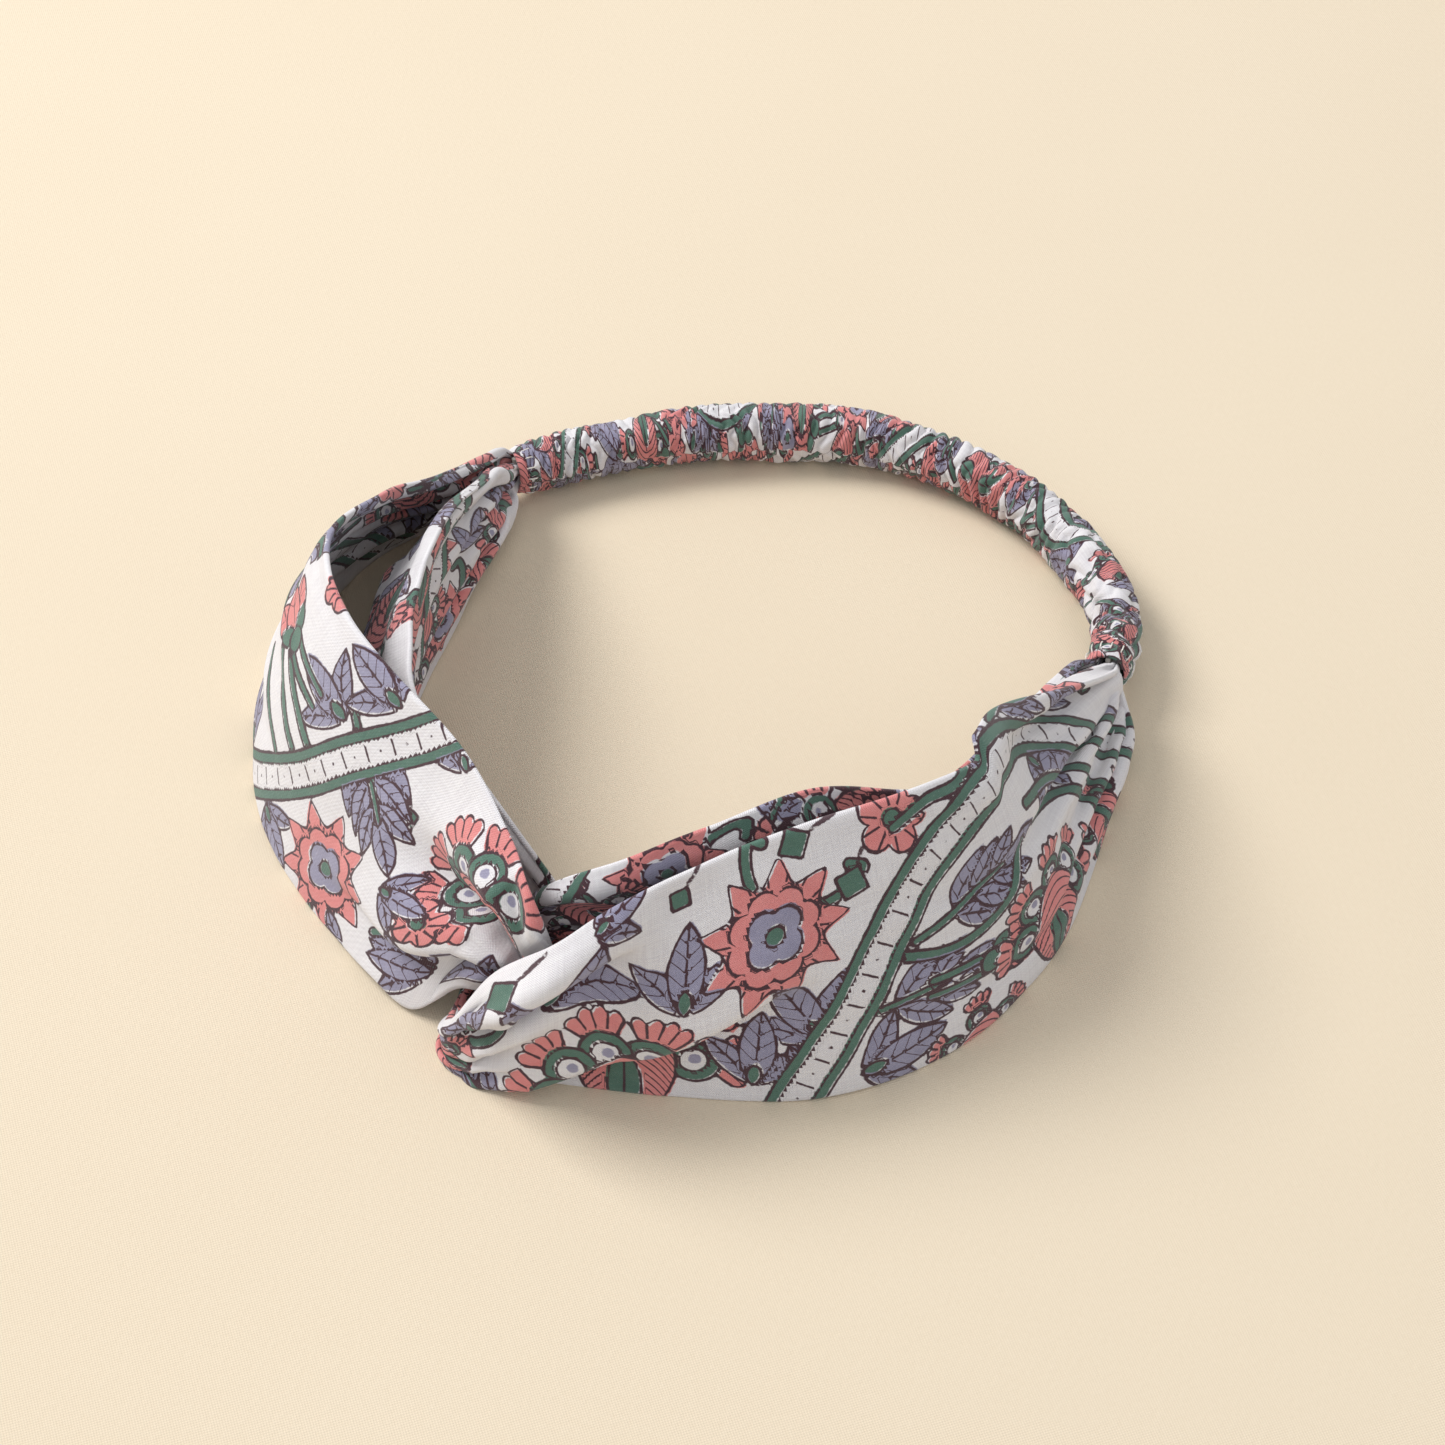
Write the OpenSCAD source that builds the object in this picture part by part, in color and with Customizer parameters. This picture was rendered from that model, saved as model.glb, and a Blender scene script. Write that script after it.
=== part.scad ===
// Knotted headband: two folded cloth bands hooked through each other at the front,
// joined behind the ears by a ruched casing over a flat elastic.
// Frame: +Z up, knot towards -Y, casing towards +Y, X to the wearer's left. It stands on its lower edges.

/* [Bands] */
// Thickness of a band, two layers of cloth and the air between them
band_t = 3; // [2.6:0.2:3.4]
// Thickness of a band where it is bunched at the knot
knot_t = 4; // [3:0.5:4]
// Thickness of one gathered leg inside the mouth of the casing
end_t = 2; // [1.6:0.2:2]
// Height of one gathered leg inside the mouth of the casing
end_h = 8; // [7:0.5:8]
// Air between the elastic and the gathered leg on each side of it
leg_gap = 0.6; // [0.4:0.1:0.7]
// How far a flat stretch of band swells outwards between its edges
bulge = 2; // [0:0.5:3]

/* [Back casing] */
// Outer height of the casing
casing_h = 13; // [12:0.5:13]
// Outer width of the casing, across the ring
casing_w = 11; // [10.5:0.5:12]
// Thickness of the ruched cloth wall
casing_wall = 1; // [0.8:0.1:1]

/* [Elastic] */
// Width of the flat elastic
elastic_w = 8; // [6:0.5:8]
// Thickness of the flat elastic
elastic_t = 1.2; // [0.8:0.2:1.2]

/* [Thread] */
// Diameter of the sewing thread
thread_d = 0.5; // [0.3:0.1:0.5]
// Distance of a band's long seam from its lower edge
seam_inset = 4; // [3:0.5:6]
// Number of stitches around each mouth of the casing
mouth_stitches = 14; // [8:2:18]
// Length of one stitch around a mouth
stitch_l = 2.6; // [2:0.2:3]
// Number of stitches in each bartack, 1 mm apart
bartack_stitches = 5; // [3:1:6]

/* [Hidden] */

// Rings drawn between two stations of a route
band_steps = 4;
casing_steps = 4;
// Rings of the casing that cover a gathered end, about 2.8 mm each
end_rings = 3;
// Sides of the casing and of a thread
casing_sides = 16;
thread_sides = 6;

cloth = [0.95, 0.93, 0.94];
ruched_cloth = [0.72, 0.62, 0.66];
rubber_white = [0.93, 0.92, 0.88];
thread_white = [0.97, 0.96, 0.94];

// Middle of the casing, from its left mouth to its right mouth
CASING = [
    [-68, 43, 8], [-61, 52, 7], [-51, 62, 7], [-41, 70, 7], [-29, 77.5, 7],
    [-17, 83.5, 7], [-4, 88.5, 7], [10, 90, 7], [25, 89, 7], [39, 85, 7],
    [53, 77, 7.5], [64, 67.5, 8], [70, 57, 9], [72, 46, 10]
];

// Each band as stations [lower edge, upper edge, thickness, swell], walked from its outer
// end, along the outer leg to the knot, round the other band and back along the inner leg.
RIGHT_LEGS = [
    [[79.5, 36, 2], [75, 37, 21], band_t, 0],
    [[86, 16, 0], [72, 18, 34], band_t, bulge],
    [[89, -4, 0], [68, -2, 44], band_t, bulge],
    [[88, -26, 0], [68, -18, 49], band_t, bulge],
    [[79, -51, 0], [60, -33, 52], band_t, bulge],
    [[60, -71, 0], [44, -52, 52], band_t, bulge],
    [[38, -82, 0], [29, -69, 48], band_t, bulge],
    [[18, -89, 0], [16, -83, 41], band_t, bulge],
    [[4, -93, 0], [4, -90, 29], knot_t, 0],
    [[-6, -92, 0], [-5, -92, 10], knot_t, 0],
    [[-7, -82, 0], [-8, -82, 8], knot_t, 0],
    [[1, -77, 8], [-1, -77, 25], knot_t, 0],
    [[13, -75, 18], [9, -75, 42], knot_t, 0],
    [[26, -71, 4], [20, -68, 48], band_t, 0],
    [[41, -64, 0], [32, -57, 52], band_t, 0],
    [[58, -51, 0], [45, -41, 53], band_t, 0],
    [[71, -30, 0], [61, -25, 44], band_t, 0],
    [[76, -4, 0], [66, -3, 38], band_t, 0],
    [[75, 18, 0], [68, 17, 28], band_t, 0],
    [[71.5, 35, 3], [69, 36, 20], band_t, 0]
];
LEFT_LEGS = [
    [[-77, 33, 1], [-70, 34, 19], band_t, 0],
    [[-86, 16, 0], [-69, 14, 32], band_t, bulge],
    [[-89, -6, 0], [-70, -4, 43], band_t, bulge],
    [[-86, -32, 0], [-70, -24, 50], band_t, bulge],
    [[-76, -52, 0], [-58, -40, 54], band_t, bulge],
    [[-60, -68, 0], [-38, -52, 54], band_t, bulge],
    [[-40, -79, 0], [-17, -62, 52], band_t, bulge],
    [[-23, -86, 4], [-2, -73, 49], band_t, 0],
    [[-8, -85, 14], [9, -80, 45], knot_t, 0],
    [[5, -83, 8], [13, -82, 28], knot_t, 0],
    [[13, -81, 0], [16, -81, 11], knot_t, 0],
    [[14, -70, 0], [16, -70, 11], knot_t, 0],
    [[3, -66, 0], [5, -66, 24], knot_t, 0],
    [[-9, -65, 0], [-9, -62, 36], knot_t, 0],
    [[-22, -61, 0], [-24, -55, 42], band_t, 0],
    [[-35, -54, 0], [-37, -48, 44], band_t, 0],
    [[-50, -34, 0], [-49, -29, 43], band_t, 0],
    [[-58, -14, 0], [-55, -12, 41], band_t, 0],
    [[-61, 8, 1], [-60, 6, 35], band_t, 0],
    [[-64, 28, 3], [-64, 28, 22], band_t, 0]
];

function unit(v) = v / norm(v);
function last(list) = list[len(list) - 1];

// A smooth curve through the points or numbers of a list: one value between b and c
function between(a, b, c, d, t) =
    (2 * b + (c - a) * t + (2 * a - 5 * b + 4 * c - d) * t * t
     + (3 * b - a - 3 * c + d) * t * t * t) / 2;
function entry(list, i) =
    i < 0 ? 2 * list[0] - list[1]
    : i >= len(list) ? 2 * last(list) - list[len(list) - 2]
    : list[i];
function smooth_line(list, steps) = [
    for (i = [0:len(list) - 2])
        for (k = [0:steps - 1])
            between(entry(list, i - 1), list[i], entry(list, i + 1), entry(list, i + 2), k / steps),
    last(list)
];
function column(table, k) = [for (row = table) row[k]];

// Direction along a line of points at point i
function along(line, i) =
    unit(line[min(i + 1, len(line) - 1)] - line[max(i - 1, 0)]);

// The casing's axis and its mouths: ring k counted inwards from the mouth on one side (-1 left, 1 right)
casing_line = smooth_line(CASING, casing_steps);
function from_mouth(side, k) = side < 0 ? k : len(casing_line) - 1 - k;
function axis_point(side, k) = casing_line[from_mouth(side, k)];
function mouth(side) = axis_point(side, 0);
function inwards(side, k = 0) = along(casing_line, from_mouth(side, k)) * -side;
function outwards(side, k = 0) = unit(cross([0, 0, 1], inwards(side, k))) * -side;

// A gathered leg in the mouth: out is 1 for the outer leg and -1 for the inner one
leg_offset = elastic_t / 2 + leg_gap + end_t / 2;
function leg_end(side, out, k) =
    let (p = axis_point(side, k) + out * leg_offset * outwards(side, k),
         half = [0, 0, end_h / 2])
    [p - half, p + half, end_t, 0];
function whole_band(legs, side) = concat(
    [leg_end(side, 1, end_rings), leg_end(side, 1, 0)],
    legs,
    [leg_end(side, -1, 0), leg_end(side, -1, end_rings)]
);

// Closed skin of rings with the same number of points, capped at both ends
module skin(rings) {
    m = len(rings[0]);
    n = len(rings);
    points = [for (ring = rings) for (p = ring) p];
    sides = [
        for (i = [0:n - 2])
            for (j = [0:m - 1])
                let (k = (j + 1) % m)
                for (tri = [[i * m + j, i * m + k, (i + 1) * m + k],
                            [i * m + j, (i + 1) * m + k, (i + 1) * m + j]]) tri
    ];
    caps = [
        for (j = [1:m - 2])
            for (tri = [[0, j + 1, j], [(n - 1) * m, (n - 1) * m + j, (n - 1) * m + j + 1]]) tri
    ];
    polyhedron(points, concat(sides, caps), convexity = 10);
}

// Cross-section of a band: a flat foot, rounded edges and a swell on one face
function band_ring(low, high, thick, swell, dir) =
    let (up = unit(high - low), across = unit(cross(dir, up)), l = norm(high - low), a = thick / 2)
    [for (s = [[0, -0.5], [0, 0.5], [a / l, 1], [1 / 3, 1], [2 / 3, 1], [1 - a / l, 1],
               [1, 0.5], [1, -0.5], [1 - a / l, -1], [2 / 3, -1], [1 / 3, -1], [a / l, -1]])
        low + s[0] * l * up + (s[1] * a + 4 * swell * s[0] * (1 - s[0])) * across];

// The foot of a ring is laid on the table where the edge touches it
function footed(ring, low) =
    [for (j = [0:len(ring) - 1])
        j < 2 && low[2] < 0.2 ? [ring[j][0], ring[j][1], 0] : [ring[j][0], ring[j][1], max(ring[j][2], 0)]];

// swell_side is the side of a band that faces away from the ring's middle
module band(stations, swell_side) {
    low = smooth_line(column(stations, 0), band_steps);
    high = smooth_line(column(stations, 1), band_steps);
    thick = smooth_line(column(stations, 2), band_steps);
    swell = smooth_line(column(stations, 3), band_steps);
    middle = (low + high) / 2;
    skin([for (i = [0:len(low) - 1])
        footed(band_ring(low[i], high[i], thick[i], swell_side * swell[i], along(middle, i)), low[i])]);
}

// A thread laid along a line of points
module thread(line) {
    skin([for (i = [0:len(line) - 1])
        let (dir = along(line, i), side = unit(cross([0, 0, 1], dir)), up = cross(dir, side))
        [for (k = [0:thread_sides - 1])
            let (angle = 360 * k / thread_sides)
            line[i] + thread_d / 2 * (cos(angle) * up + sin(angle) * side)]]);
}

// A straight stitch between two points
module stitch(from, to) {
    d = to - from;
    translate(from)
        rotate([0, acos(d[2] / norm(d)), atan2(d[1], d[0])])
            cylinder(h = norm(d), d = thread_d, $fn = 16);
}

// One ring of an oval tube around point i of the casing
function casing_ring(i, half_w, half_h) =
    let (dir = along(casing_line, i), out = unit(cross(dir, [0, 0, 1])), up = cross(out, dir))
    [for (k = [0:casing_sides - 1])
        let (angle = 360 * k / casing_sides)
        casing_line[i] + half_w * cos(angle) * out + half_h * sin(angle) * up];

// The lower edge of a band, moved up along it by the seam's distance
function seam_line(stations) =
    let (low = smooth_line(column(stations, 0), band_steps),
         high = smooth_line(column(stations, 1), band_steps))
    [for (i = [0:len(low) - 1])
        low[i] + unit(high[i] - low[i]) * min(seam_inset, norm(high[i] - low[i]) / 2)];

module left_band() {
    color(cloth) band(whole_band(LEFT_LEGS, -1), 1);
}

module right_band() {
    color(cloth) band(whole_band(RIGHT_LEGS, 1), -1);
}

module back_casing() {
    m = casing_sides;
    n = len(casing_line);
    outer = [for (i = [0:n - 1]) casing_ring(i, casing_w / 2, casing_h / 2)];
    inner = [for (i = [0:n - 1]) casing_ring(i, casing_w / 2 - casing_wall, casing_h / 2 - casing_wall)];
    // Index of point j of ring i, on the outer (0) or the inner (1) wall
    function at(wall, i, j) = (wall * n + i) * m + j % m;
    walls = [
        for (i = [0:n - 2])
            for (j = [0:m - 1])
                for (tri = [
                    [at(0, i, j), at(0, i, j + 1), at(0, i + 1, j + 1)],
                    [at(0, i, j), at(0, i + 1, j + 1), at(0, i + 1, j)],
                    [at(1, i, j), at(1, i + 1, j + 1), at(1, i, j + 1)],
                    [at(1, i, j), at(1, i + 1, j), at(1, i + 1, j + 1)]]) tri
    ];
    rims = [
        for (j = [0:m - 1])
            for (tri = [
                [at(0, 0, j), at(1, 0, j + 1), at(0, 0, j + 1)],
                [at(0, 0, j), at(1, 0, j), at(1, 0, j + 1)],
                [at(0, n - 1, j), at(0, n - 1, j + 1), at(1, n - 1, j + 1)],
                [at(0, n - 1, j), at(1, n - 1, j + 1), at(1, n - 1, j)]]) tri
    ];
    color(ruched_cloth)
        polyhedron([for (ring = concat(outer, inner)) for (p = ring) p], concat(walls, rims), convexity = 10);
}

module elastic() {
    half = [0, 0, elastic_w / 2];
    color(rubber_white)
        skin([for (i = [0:len(casing_line) - 1])
            let (p = casing_line[i], out = unit(cross(along(casing_line, i), [0, 0, 1])) * elastic_t / 2)
            [p - half - out, p - half + out, p + half + out, p + half - out]]);
}

module left_band_seam() {
    color(thread_white) thread(seam_line(whole_band(LEFT_LEGS, -1)));
}

module right_band_seam() {
    color(thread_white) thread(seam_line(whole_band(RIGHT_LEGS, 1)));
}

// The casing's long seam runs in the wall that faces the head
module casing_seam() {
    inset = casing_w / 2 - casing_wall / 2;
    color(thread_white)
        thread([for (i = [0:len(casing_line) - 1])
            casing_line[i] + inset * unit(cross(along(casing_line, i), [0, 0, 1])) * -1]);
}

// Stitches that close the mouth of the casing around the gathered ends
module join_stitching(side) {
    start = mouth(side) + 1.5 * inwards(side);
    color(thread_white)
        for (k = [0:mouth_stitches - 1]) {
            angle = 360 * (k + 0.5) / mouth_stitches;
            out = cos(angle) * casing_w / 2 * outwards(side) + sin(angle) * casing_h / 2 * [0, 0, 1];
            stitch(start + out, start + out + stitch_l * inwards(side));
        }
}

// Row of close, slanted stitches that holds the end of the elastic, on its outer face
module bartack(side) {
    half = [0, 0, elastic_w / 2 - 1];
    face = mouth(side) + outwards(side) * (elastic_t / 2 + 0.05);
    color(thread_white)
        for (k = [0:bartack_stitches - 1])
            stitch(face + (2 + k) * inwards(side) - half, face + (2.4 + k) * inwards(side) + half);
}

// Gathering thread drawn up through both gathered legs
module gathering_thread(side) {
    half = [0, 0, end_h / 2 - 0.8];
    color(thread_white)
        for (out = [-1, 1])
            for (depth = [2, 5]) {
                p = mouth(side) + depth * inwards(side) + out * leg_offset * outwards(side);
                stitch(p - half, p + half);
            }
}

module left_join_stitching() { join_stitching(-1); }
module right_join_stitching() { join_stitching(1); }
module left_bartack() { bartack(-1); }
module right_bartack() { bartack(1); }
module left_gathering_thread() { gathering_thread(-1); }
module right_gathering_thread() { gathering_thread(1); }

left_band();
right_band();
back_casing();
elastic();
left_band_seam();
right_band_seam();
casing_seam();
left_join_stitching();
right_join_stitching();
left_bartack();
right_bartack();
left_gathering_thread();
right_gathering_thread();
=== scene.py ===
# %% [markdown]
# # A knotted headband
# The real headband is sewn from block-printed cotton cambric. Two tubes of cloth, pressed flat,
# are hooked through each other at the front, and a ruched casing over a flat elastic joins their
# ends at the back. The CAD model holds the places and the motion. This script gives the cloth its
# folds, its print and its weave. It starts by loading that model as a fixed frame.

# %% Load the frame
import math
import bpy
import numpy as np
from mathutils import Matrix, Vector


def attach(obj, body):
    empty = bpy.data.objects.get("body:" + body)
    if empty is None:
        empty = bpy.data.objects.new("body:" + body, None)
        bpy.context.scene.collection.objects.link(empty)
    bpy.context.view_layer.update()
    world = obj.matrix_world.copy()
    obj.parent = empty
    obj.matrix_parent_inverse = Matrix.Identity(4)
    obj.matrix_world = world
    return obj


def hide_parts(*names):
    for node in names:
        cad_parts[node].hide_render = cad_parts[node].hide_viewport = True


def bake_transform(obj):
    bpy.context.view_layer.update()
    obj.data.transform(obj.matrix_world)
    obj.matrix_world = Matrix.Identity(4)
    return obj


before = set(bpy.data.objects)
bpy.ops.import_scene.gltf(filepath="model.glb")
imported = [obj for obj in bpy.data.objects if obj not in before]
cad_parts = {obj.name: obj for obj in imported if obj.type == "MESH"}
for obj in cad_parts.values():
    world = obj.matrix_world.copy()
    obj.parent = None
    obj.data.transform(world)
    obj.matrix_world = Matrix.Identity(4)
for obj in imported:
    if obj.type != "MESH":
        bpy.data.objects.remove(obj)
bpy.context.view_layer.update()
MM = 0.001
print("CAD nodes:", len(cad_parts))

# %% [markdown]
# ## The view
# A long lens from above keeps the ring's proportions. The camera is placed on a sphere round a
# target on the table, so that two angles and a distance say where it stands.

# %% Camera
TARGET = np.array([3.0, 5.5, 0.0]) * MM
AZIMUTH = math.radians(27)
ELEVATION = math.radians(50)
DISTANCE = 0.7
VIEW_WIDTH = math.radians(24.46)


def on_sphere(azimuth, elevation):
    """Unit vector from the target towards a point at these angles; azimuth 0 is in front, at -Y."""
    return np.array([
        math.sin(azimuth) * math.cos(elevation),
        -math.cos(azimuth) * math.cos(elevation),
        math.sin(elevation)
    ])


def turned_to(place, target):
    """Rotation of a camera or light at place that looks at target."""
    return (Vector(target) - Vector(place)).to_track_quat("-Z", "Y").to_euler()


camera_data = bpy.data.cameras.new("camera")
camera_data.angle = VIEW_WIDTH
camera_data.clip_start = 0.05
camera_data.clip_end = 20
camera = bpy.data.objects.new("camera", camera_data)
bpy.context.scene.collection.objects.link(camera)
camera.location = TARGET + DISTANCE * on_sphere(AZIMUTH, ELEVATION)
camera.rotation_euler = turned_to(camera.location, TARGET)
bpy.context.scene.camera = camera
print("camera at", [round(v, 3) for v in camera.location])

# %% [markdown]
# ## Shader maths as Python
# A pattern is a formula. Wrapping a socket in a small class lets the formula be written with
# ordinary operators, and each operator adds the Math node it stands for. Other nodes come from
# one method, which sets the node's own settings first and its inputs after.

# %% Socket maths


class Wire:
    """A node's output that can be used in Python expressions."""

    def __init__(self, tree, socket):
        self.tree = tree
        self.socket = socket

    def math(self, operation, *others, clamp=False):
        inputs = dict(enumerate((self, *others)))
        return node(self.tree, "ShaderNodeMath", {"operation": operation, "use_clamp": clamp}, inputs)

    def __add__(self, other):
        return self.math("ADD", other)

    def __sub__(self, other):
        return self.math("SUBTRACT", other)

    def __mul__(self, other):
        return self.math("MULTIPLY", other)

    def __truediv__(self, other):
        return self.math("DIVIDE", other)

    def __rsub__(self, other):
        return (self * -1) + other

    def __abs__(self):
        return self.math("ABSOLUTE")

    __radd__ = __add__
    __rmul__ = __mul__

    def most(self, other):
        return self.math("MAXIMUM", other)

    def clamped(self):
        """The same value, held between 0 and 1."""
        return self.math("ADD", 0, clamp=True)

    def above(self, limit, soft):
        """0 below the limit and 1 above it, over a soft step of this width."""
        return ((self - limit) / soft + 0.5).clamped()

    def waves(self, length):
        """Even waves of this length, from -1 to 1."""
        return (self * (math.tau / length)).math("SINE")


def node(tree, kind, settings=None, inputs=None, output=0):
    """Adds a node, sets it up, fills its inputs with values or wires and returns one output."""
    made = tree.nodes.new(kind)
    for key, value in (settings or {}).items():
        setattr(made, key, value)
    for key, value in (inputs or {}).items():
        if isinstance(value, Wire):
            tree.links.new(value.socket, made.inputs[key])
        else:
            made.inputs[key].default_value = value
    return Wire(tree, made.outputs[output])


def halves(tree, vector):
    """The x and the y of a vector."""
    x = node(tree, "ShaderNodeSeparateXYZ", None, {0: vector})
    return x, Wire(tree, x.socket.node.outputs[1])


def mix(tree, factor, first, second):
    """Colour that goes from first to second with factor."""
    return node(tree, "ShaderNodeMix", {"data_type": "RGBA"}, {0: factor, 6: first, 7: second}, 2)


def noise(tree, vector, scale, detail=2.0, rough=0.5):
    """Noise between 0 and 1."""
    return node(tree, "ShaderNodeTexNoise", None,
                {"Vector": vector, "Scale": scale, "Detail": detail, "Roughness": rough})


def rgb(text):
    """Linear colour from a hex code."""
    levels = [int(text[i:i + 2], 16) / 255 for i in (0, 2, 4)]
    return (*[((v + 0.055) / 1.055) ** 2.4 if v > 0.04 else v / 12.92 for v in levels], 1.0)


def new_material(name, **settings):
    """A material with a Principled shader, whose plain settings are given by name."""
    material = bpy.data.materials.new(name)
    material.use_nodes = True
    shader = material.node_tree.nodes["Principled BSDF"]
    for key, value in settings.items():
        shader.inputs[key.replace("_", " ")].default_value = value
    return material, material.node_tree, shader


def feed(tree, shader, **wires):
    """Links wires to the shader's sockets by name."""
    for key, wire in wires.items():
        tree.links.new(wire.socket, shader.inputs[key.replace("_", " ")])


# %% [markdown]
# ## The table
# The headband stands on a plain cream surface. Its faint linen grain is two crossed sines with a
# little noise. A big plane is enough for it, and as a stage it isn't part of the headband.

# %% Table
TABLE_SIZE = 3.0
bpy.ops.object.select_all(action="DESELECT")
bpy.ops.mesh.primitive_plane_add(size=TABLE_SIZE, location=(0, 0, 0))
table = bpy.context.object
table.name = "table"
table_material, tree, shader = new_material("cream_linen", Roughness=0.9)
place = node(tree, "ShaderNodeTexCoord", output=3)
GRAIN = 0.0007
table_x, table_y = halves(tree, place)
blotch = noise(tree, place, 6.0, 3.0)
grain = noise(tree, place, 900.0, 2.0)
tone = blotch * 0.6 + grain * 0.4
table_colour = mix(tree, tone, rgb("DBCAB0"), rgb("E4D6BF"))
height = table_x.waves(GRAIN) * table_y.waves(GRAIN) * 0.5 + grain
bump = node(tree, "ShaderNodeBump", None, {"Strength": 0.35, "Distance": 0.0002, "Height": height})
feed(tree, shader, Base_Color=table_colour, Normal=bump)
table.data.materials.append(table_material)
print("table is", TABLE_SIZE, "m wide, with a grain of", round(GRAIN / MM, 2), "mm")

# %% [markdown]
# ## The light
# One large soft light comes from the upper left, as from a window, and gives each fold a light
# and a dark side. A weak second light and a pale world around fill the shadows. The standard
# view transform keeps the white cloth white.

# %% Light


def soft_light(name, azimuth, elevation, distance, size, power, colour):
    """A square area light that looks at the target."""
    data = bpy.data.lights.new(name, "AREA")
    data.shape = "SQUARE"
    data.size = size
    data.energy = power
    data.color = colour
    lamp = bpy.data.objects.new(name, data)
    bpy.context.scene.collection.objects.link(lamp)
    lamp.location = TARGET + distance * on_sphere(math.radians(azimuth), math.radians(elevation))
    lamp.rotation_euler = turned_to(lamp.location, TARGET)
    print(name, "light of", power, "W at", distance, "m")


soft_light("window", -90, 46, 2.4, 1.1, 50, (1.0, 0.99, 0.98))
soft_light("fill", 60, 60, 2.0, 2.0, 4, (0.98, 0.98, 1.0))
world = bpy.data.worlds.new("studio")
bpy.context.scene.world = world
world.use_nodes = True
background = world.node_tree.nodes["Background"]
background.inputs["Color"].default_value = (0.95, 0.97, 1.0, 1.0)
background.inputs["Strength"].default_value = 0.62
bpy.context.scene.view_settings.view_transform = "Standard"

# %% [markdown]
# ## Where the cloth runs
# Each band is a tube of cloth pressed flat. Two rails say where it runs: one along its lower
# edge and one along its upper edge. The stations below are the rails' points, in millimetres,
# and they are the same as in the CAD model, so that the cloth lies in the space that its CAD
# solid holds.

# %% Stations
CASING = [
    [-68, 43, 8], [-61, 52, 7], [-51, 62, 7], [-41, 70, 7], [-29, 77.5, 7],
    [-17, 83.5, 7], [-4, 88.5, 7], [10, 90, 7], [25, 89, 7], [39, 85, 7],
    [53, 77, 7.5], [64, 67.5, 8], [70, 57, 9], [72, 46, 10]
]
RIGHT_LEGS = [
    [[79.5, 36, 2], [75, 37, 21]], [[86, 16, 0], [72, 18, 34]], [[89, -4, 0], [68, -2, 44]],
    [[88, -26, 0], [68, -18, 49]], [[79, -51, 0], [60, -33, 52]], [[60, -71, 0], [44, -52, 52]],
    [[38, -82, 0], [29, -69, 48]], [[18, -89, 0], [16, -83, 41]], [[4, -93, 0], [4, -90, 29]],
    [[-6, -92, 0], [-5, -92, 10]], [[-7, -82, 0], [-8, -82, 8]], [[1, -77, 8], [-1, -77, 25]],
    [[13, -75, 18], [9, -75, 42]], [[26, -71, 4], [20, -68, 48]], [[41, -64, 0], [32, -57, 52]],
    [[58, -51, 0], [45, -41, 53]], [[71, -30, 0], [61, -25, 44]], [[76, -4, 0], [66, -3, 38]],
    [[75, 18, 0], [68, 17, 28]], [[71.5, 35, 3], [69, 36, 20]]
]
LEFT_LEGS = [
    [[-77, 33, 1], [-70, 34, 19]], [[-86, 16, 0], [-69, 14, 32]], [[-89, -6, 0], [-70, -4, 43]],
    [[-86, -32, 0], [-70, -24, 50]], [[-76, -52, 0], [-58, -40, 54]], [[-60, -68, 0], [-38, -52, 54]],
    [[-40, -79, 0], [-17, -62, 52]], [[-23, -86, 4], [-2, -73, 49]], [[-8, -85, 14], [9, -80, 45]],
    [[5, -83, 8], [13, -82, 28]], [[13, -81, 0], [16, -81, 11]], [[14, -70, 0], [16, -70, 11]],
    [[3, -66, 0], [5, -66, 24]], [[-9, -65, 0], [-9, -62, 36]], [[-22, -61, 0], [-24, -55, 42]],
    [[-35, -54, 0], [-37, -48, 44]], [[-50, -34, 0], [-49, -29, 43]], [[-58, -14, 0], [-55, -12, 41]],
    [[-61, 8, 1], [-60, 6, 35]], [[-64, 28, 3], [-64, 28, 22]]
]
print("stations:", len(RIGHT_LEGS), "right,", len(LEFT_LEGS), "left,", len(CASING), "on the casing")

# %% [markdown]
# ### Curves through the stations
# A few stations and a rule for the curve between them are easier to change than many points.
# The rule here is the Catmull-Rom spline, which passes through every station. Its points are
# then taken again at even distances, so that the cloth gets even faces.

# %% Smooth curves


def unit(v):
    """Vectors of length 1 in the same directions."""
    return v / np.linalg.norm(v, axis=-1, keepdims=True)


def smooth_line(points, steps):
    """A smooth curve through the points, with this many steps between two of them."""
    p = np.asarray(points, float)
    p = np.vstack([2 * p[0] - p[1], p, 2 * p[-1] - p[-2]])
    t = (np.arange(steps) / steps)[:, None]
    parts = []
    for a, b, c, d in zip(p[:-3], p[1:-2], p[2:-1], p[3:]):
        parts.append((2 * b + (c - a) * t + (2 * a - 5 * b + 4 * c - d) * t ** 2
                      + (3 * b - a - 3 * c + d) * t ** 3) / 2)
    return np.vstack([*parts, p[-2][None]])


def lengths_along(line):
    """Distance along a line of points, from its first point."""
    steps = np.linalg.norm(np.diff(line, axis=0), axis=1)
    return np.concatenate([[0], np.cumsum(steps)])


def directions(line):
    """Unit direction along a line at each of its points."""
    return unit(np.gradient(line, axis=0))


def at_lengths(line, where, wanted):
    """Points of a line at the wanted distances, where is the distance of each given point."""
    return np.stack([np.interp(wanted, where, line[:, k]) for k in range(line.shape[1])], 1)


# %% [markdown]
# ### The gathered ends
# Each band's ends are drawn together by a thread and pushed into a mouth of the casing, one on
# either side of the elastic. So their stations aren't given by hand. They are worked out from
# the casing's own axis, as in the CAD model.

# %% Ends of the bands
END_HEIGHT = 8.0
LEG_OFFSET = 2.2
END_RINGS = 3
CASING_STEPS = 4
casing_knots = smooth_line(CASING, CASING_STEPS)


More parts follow.
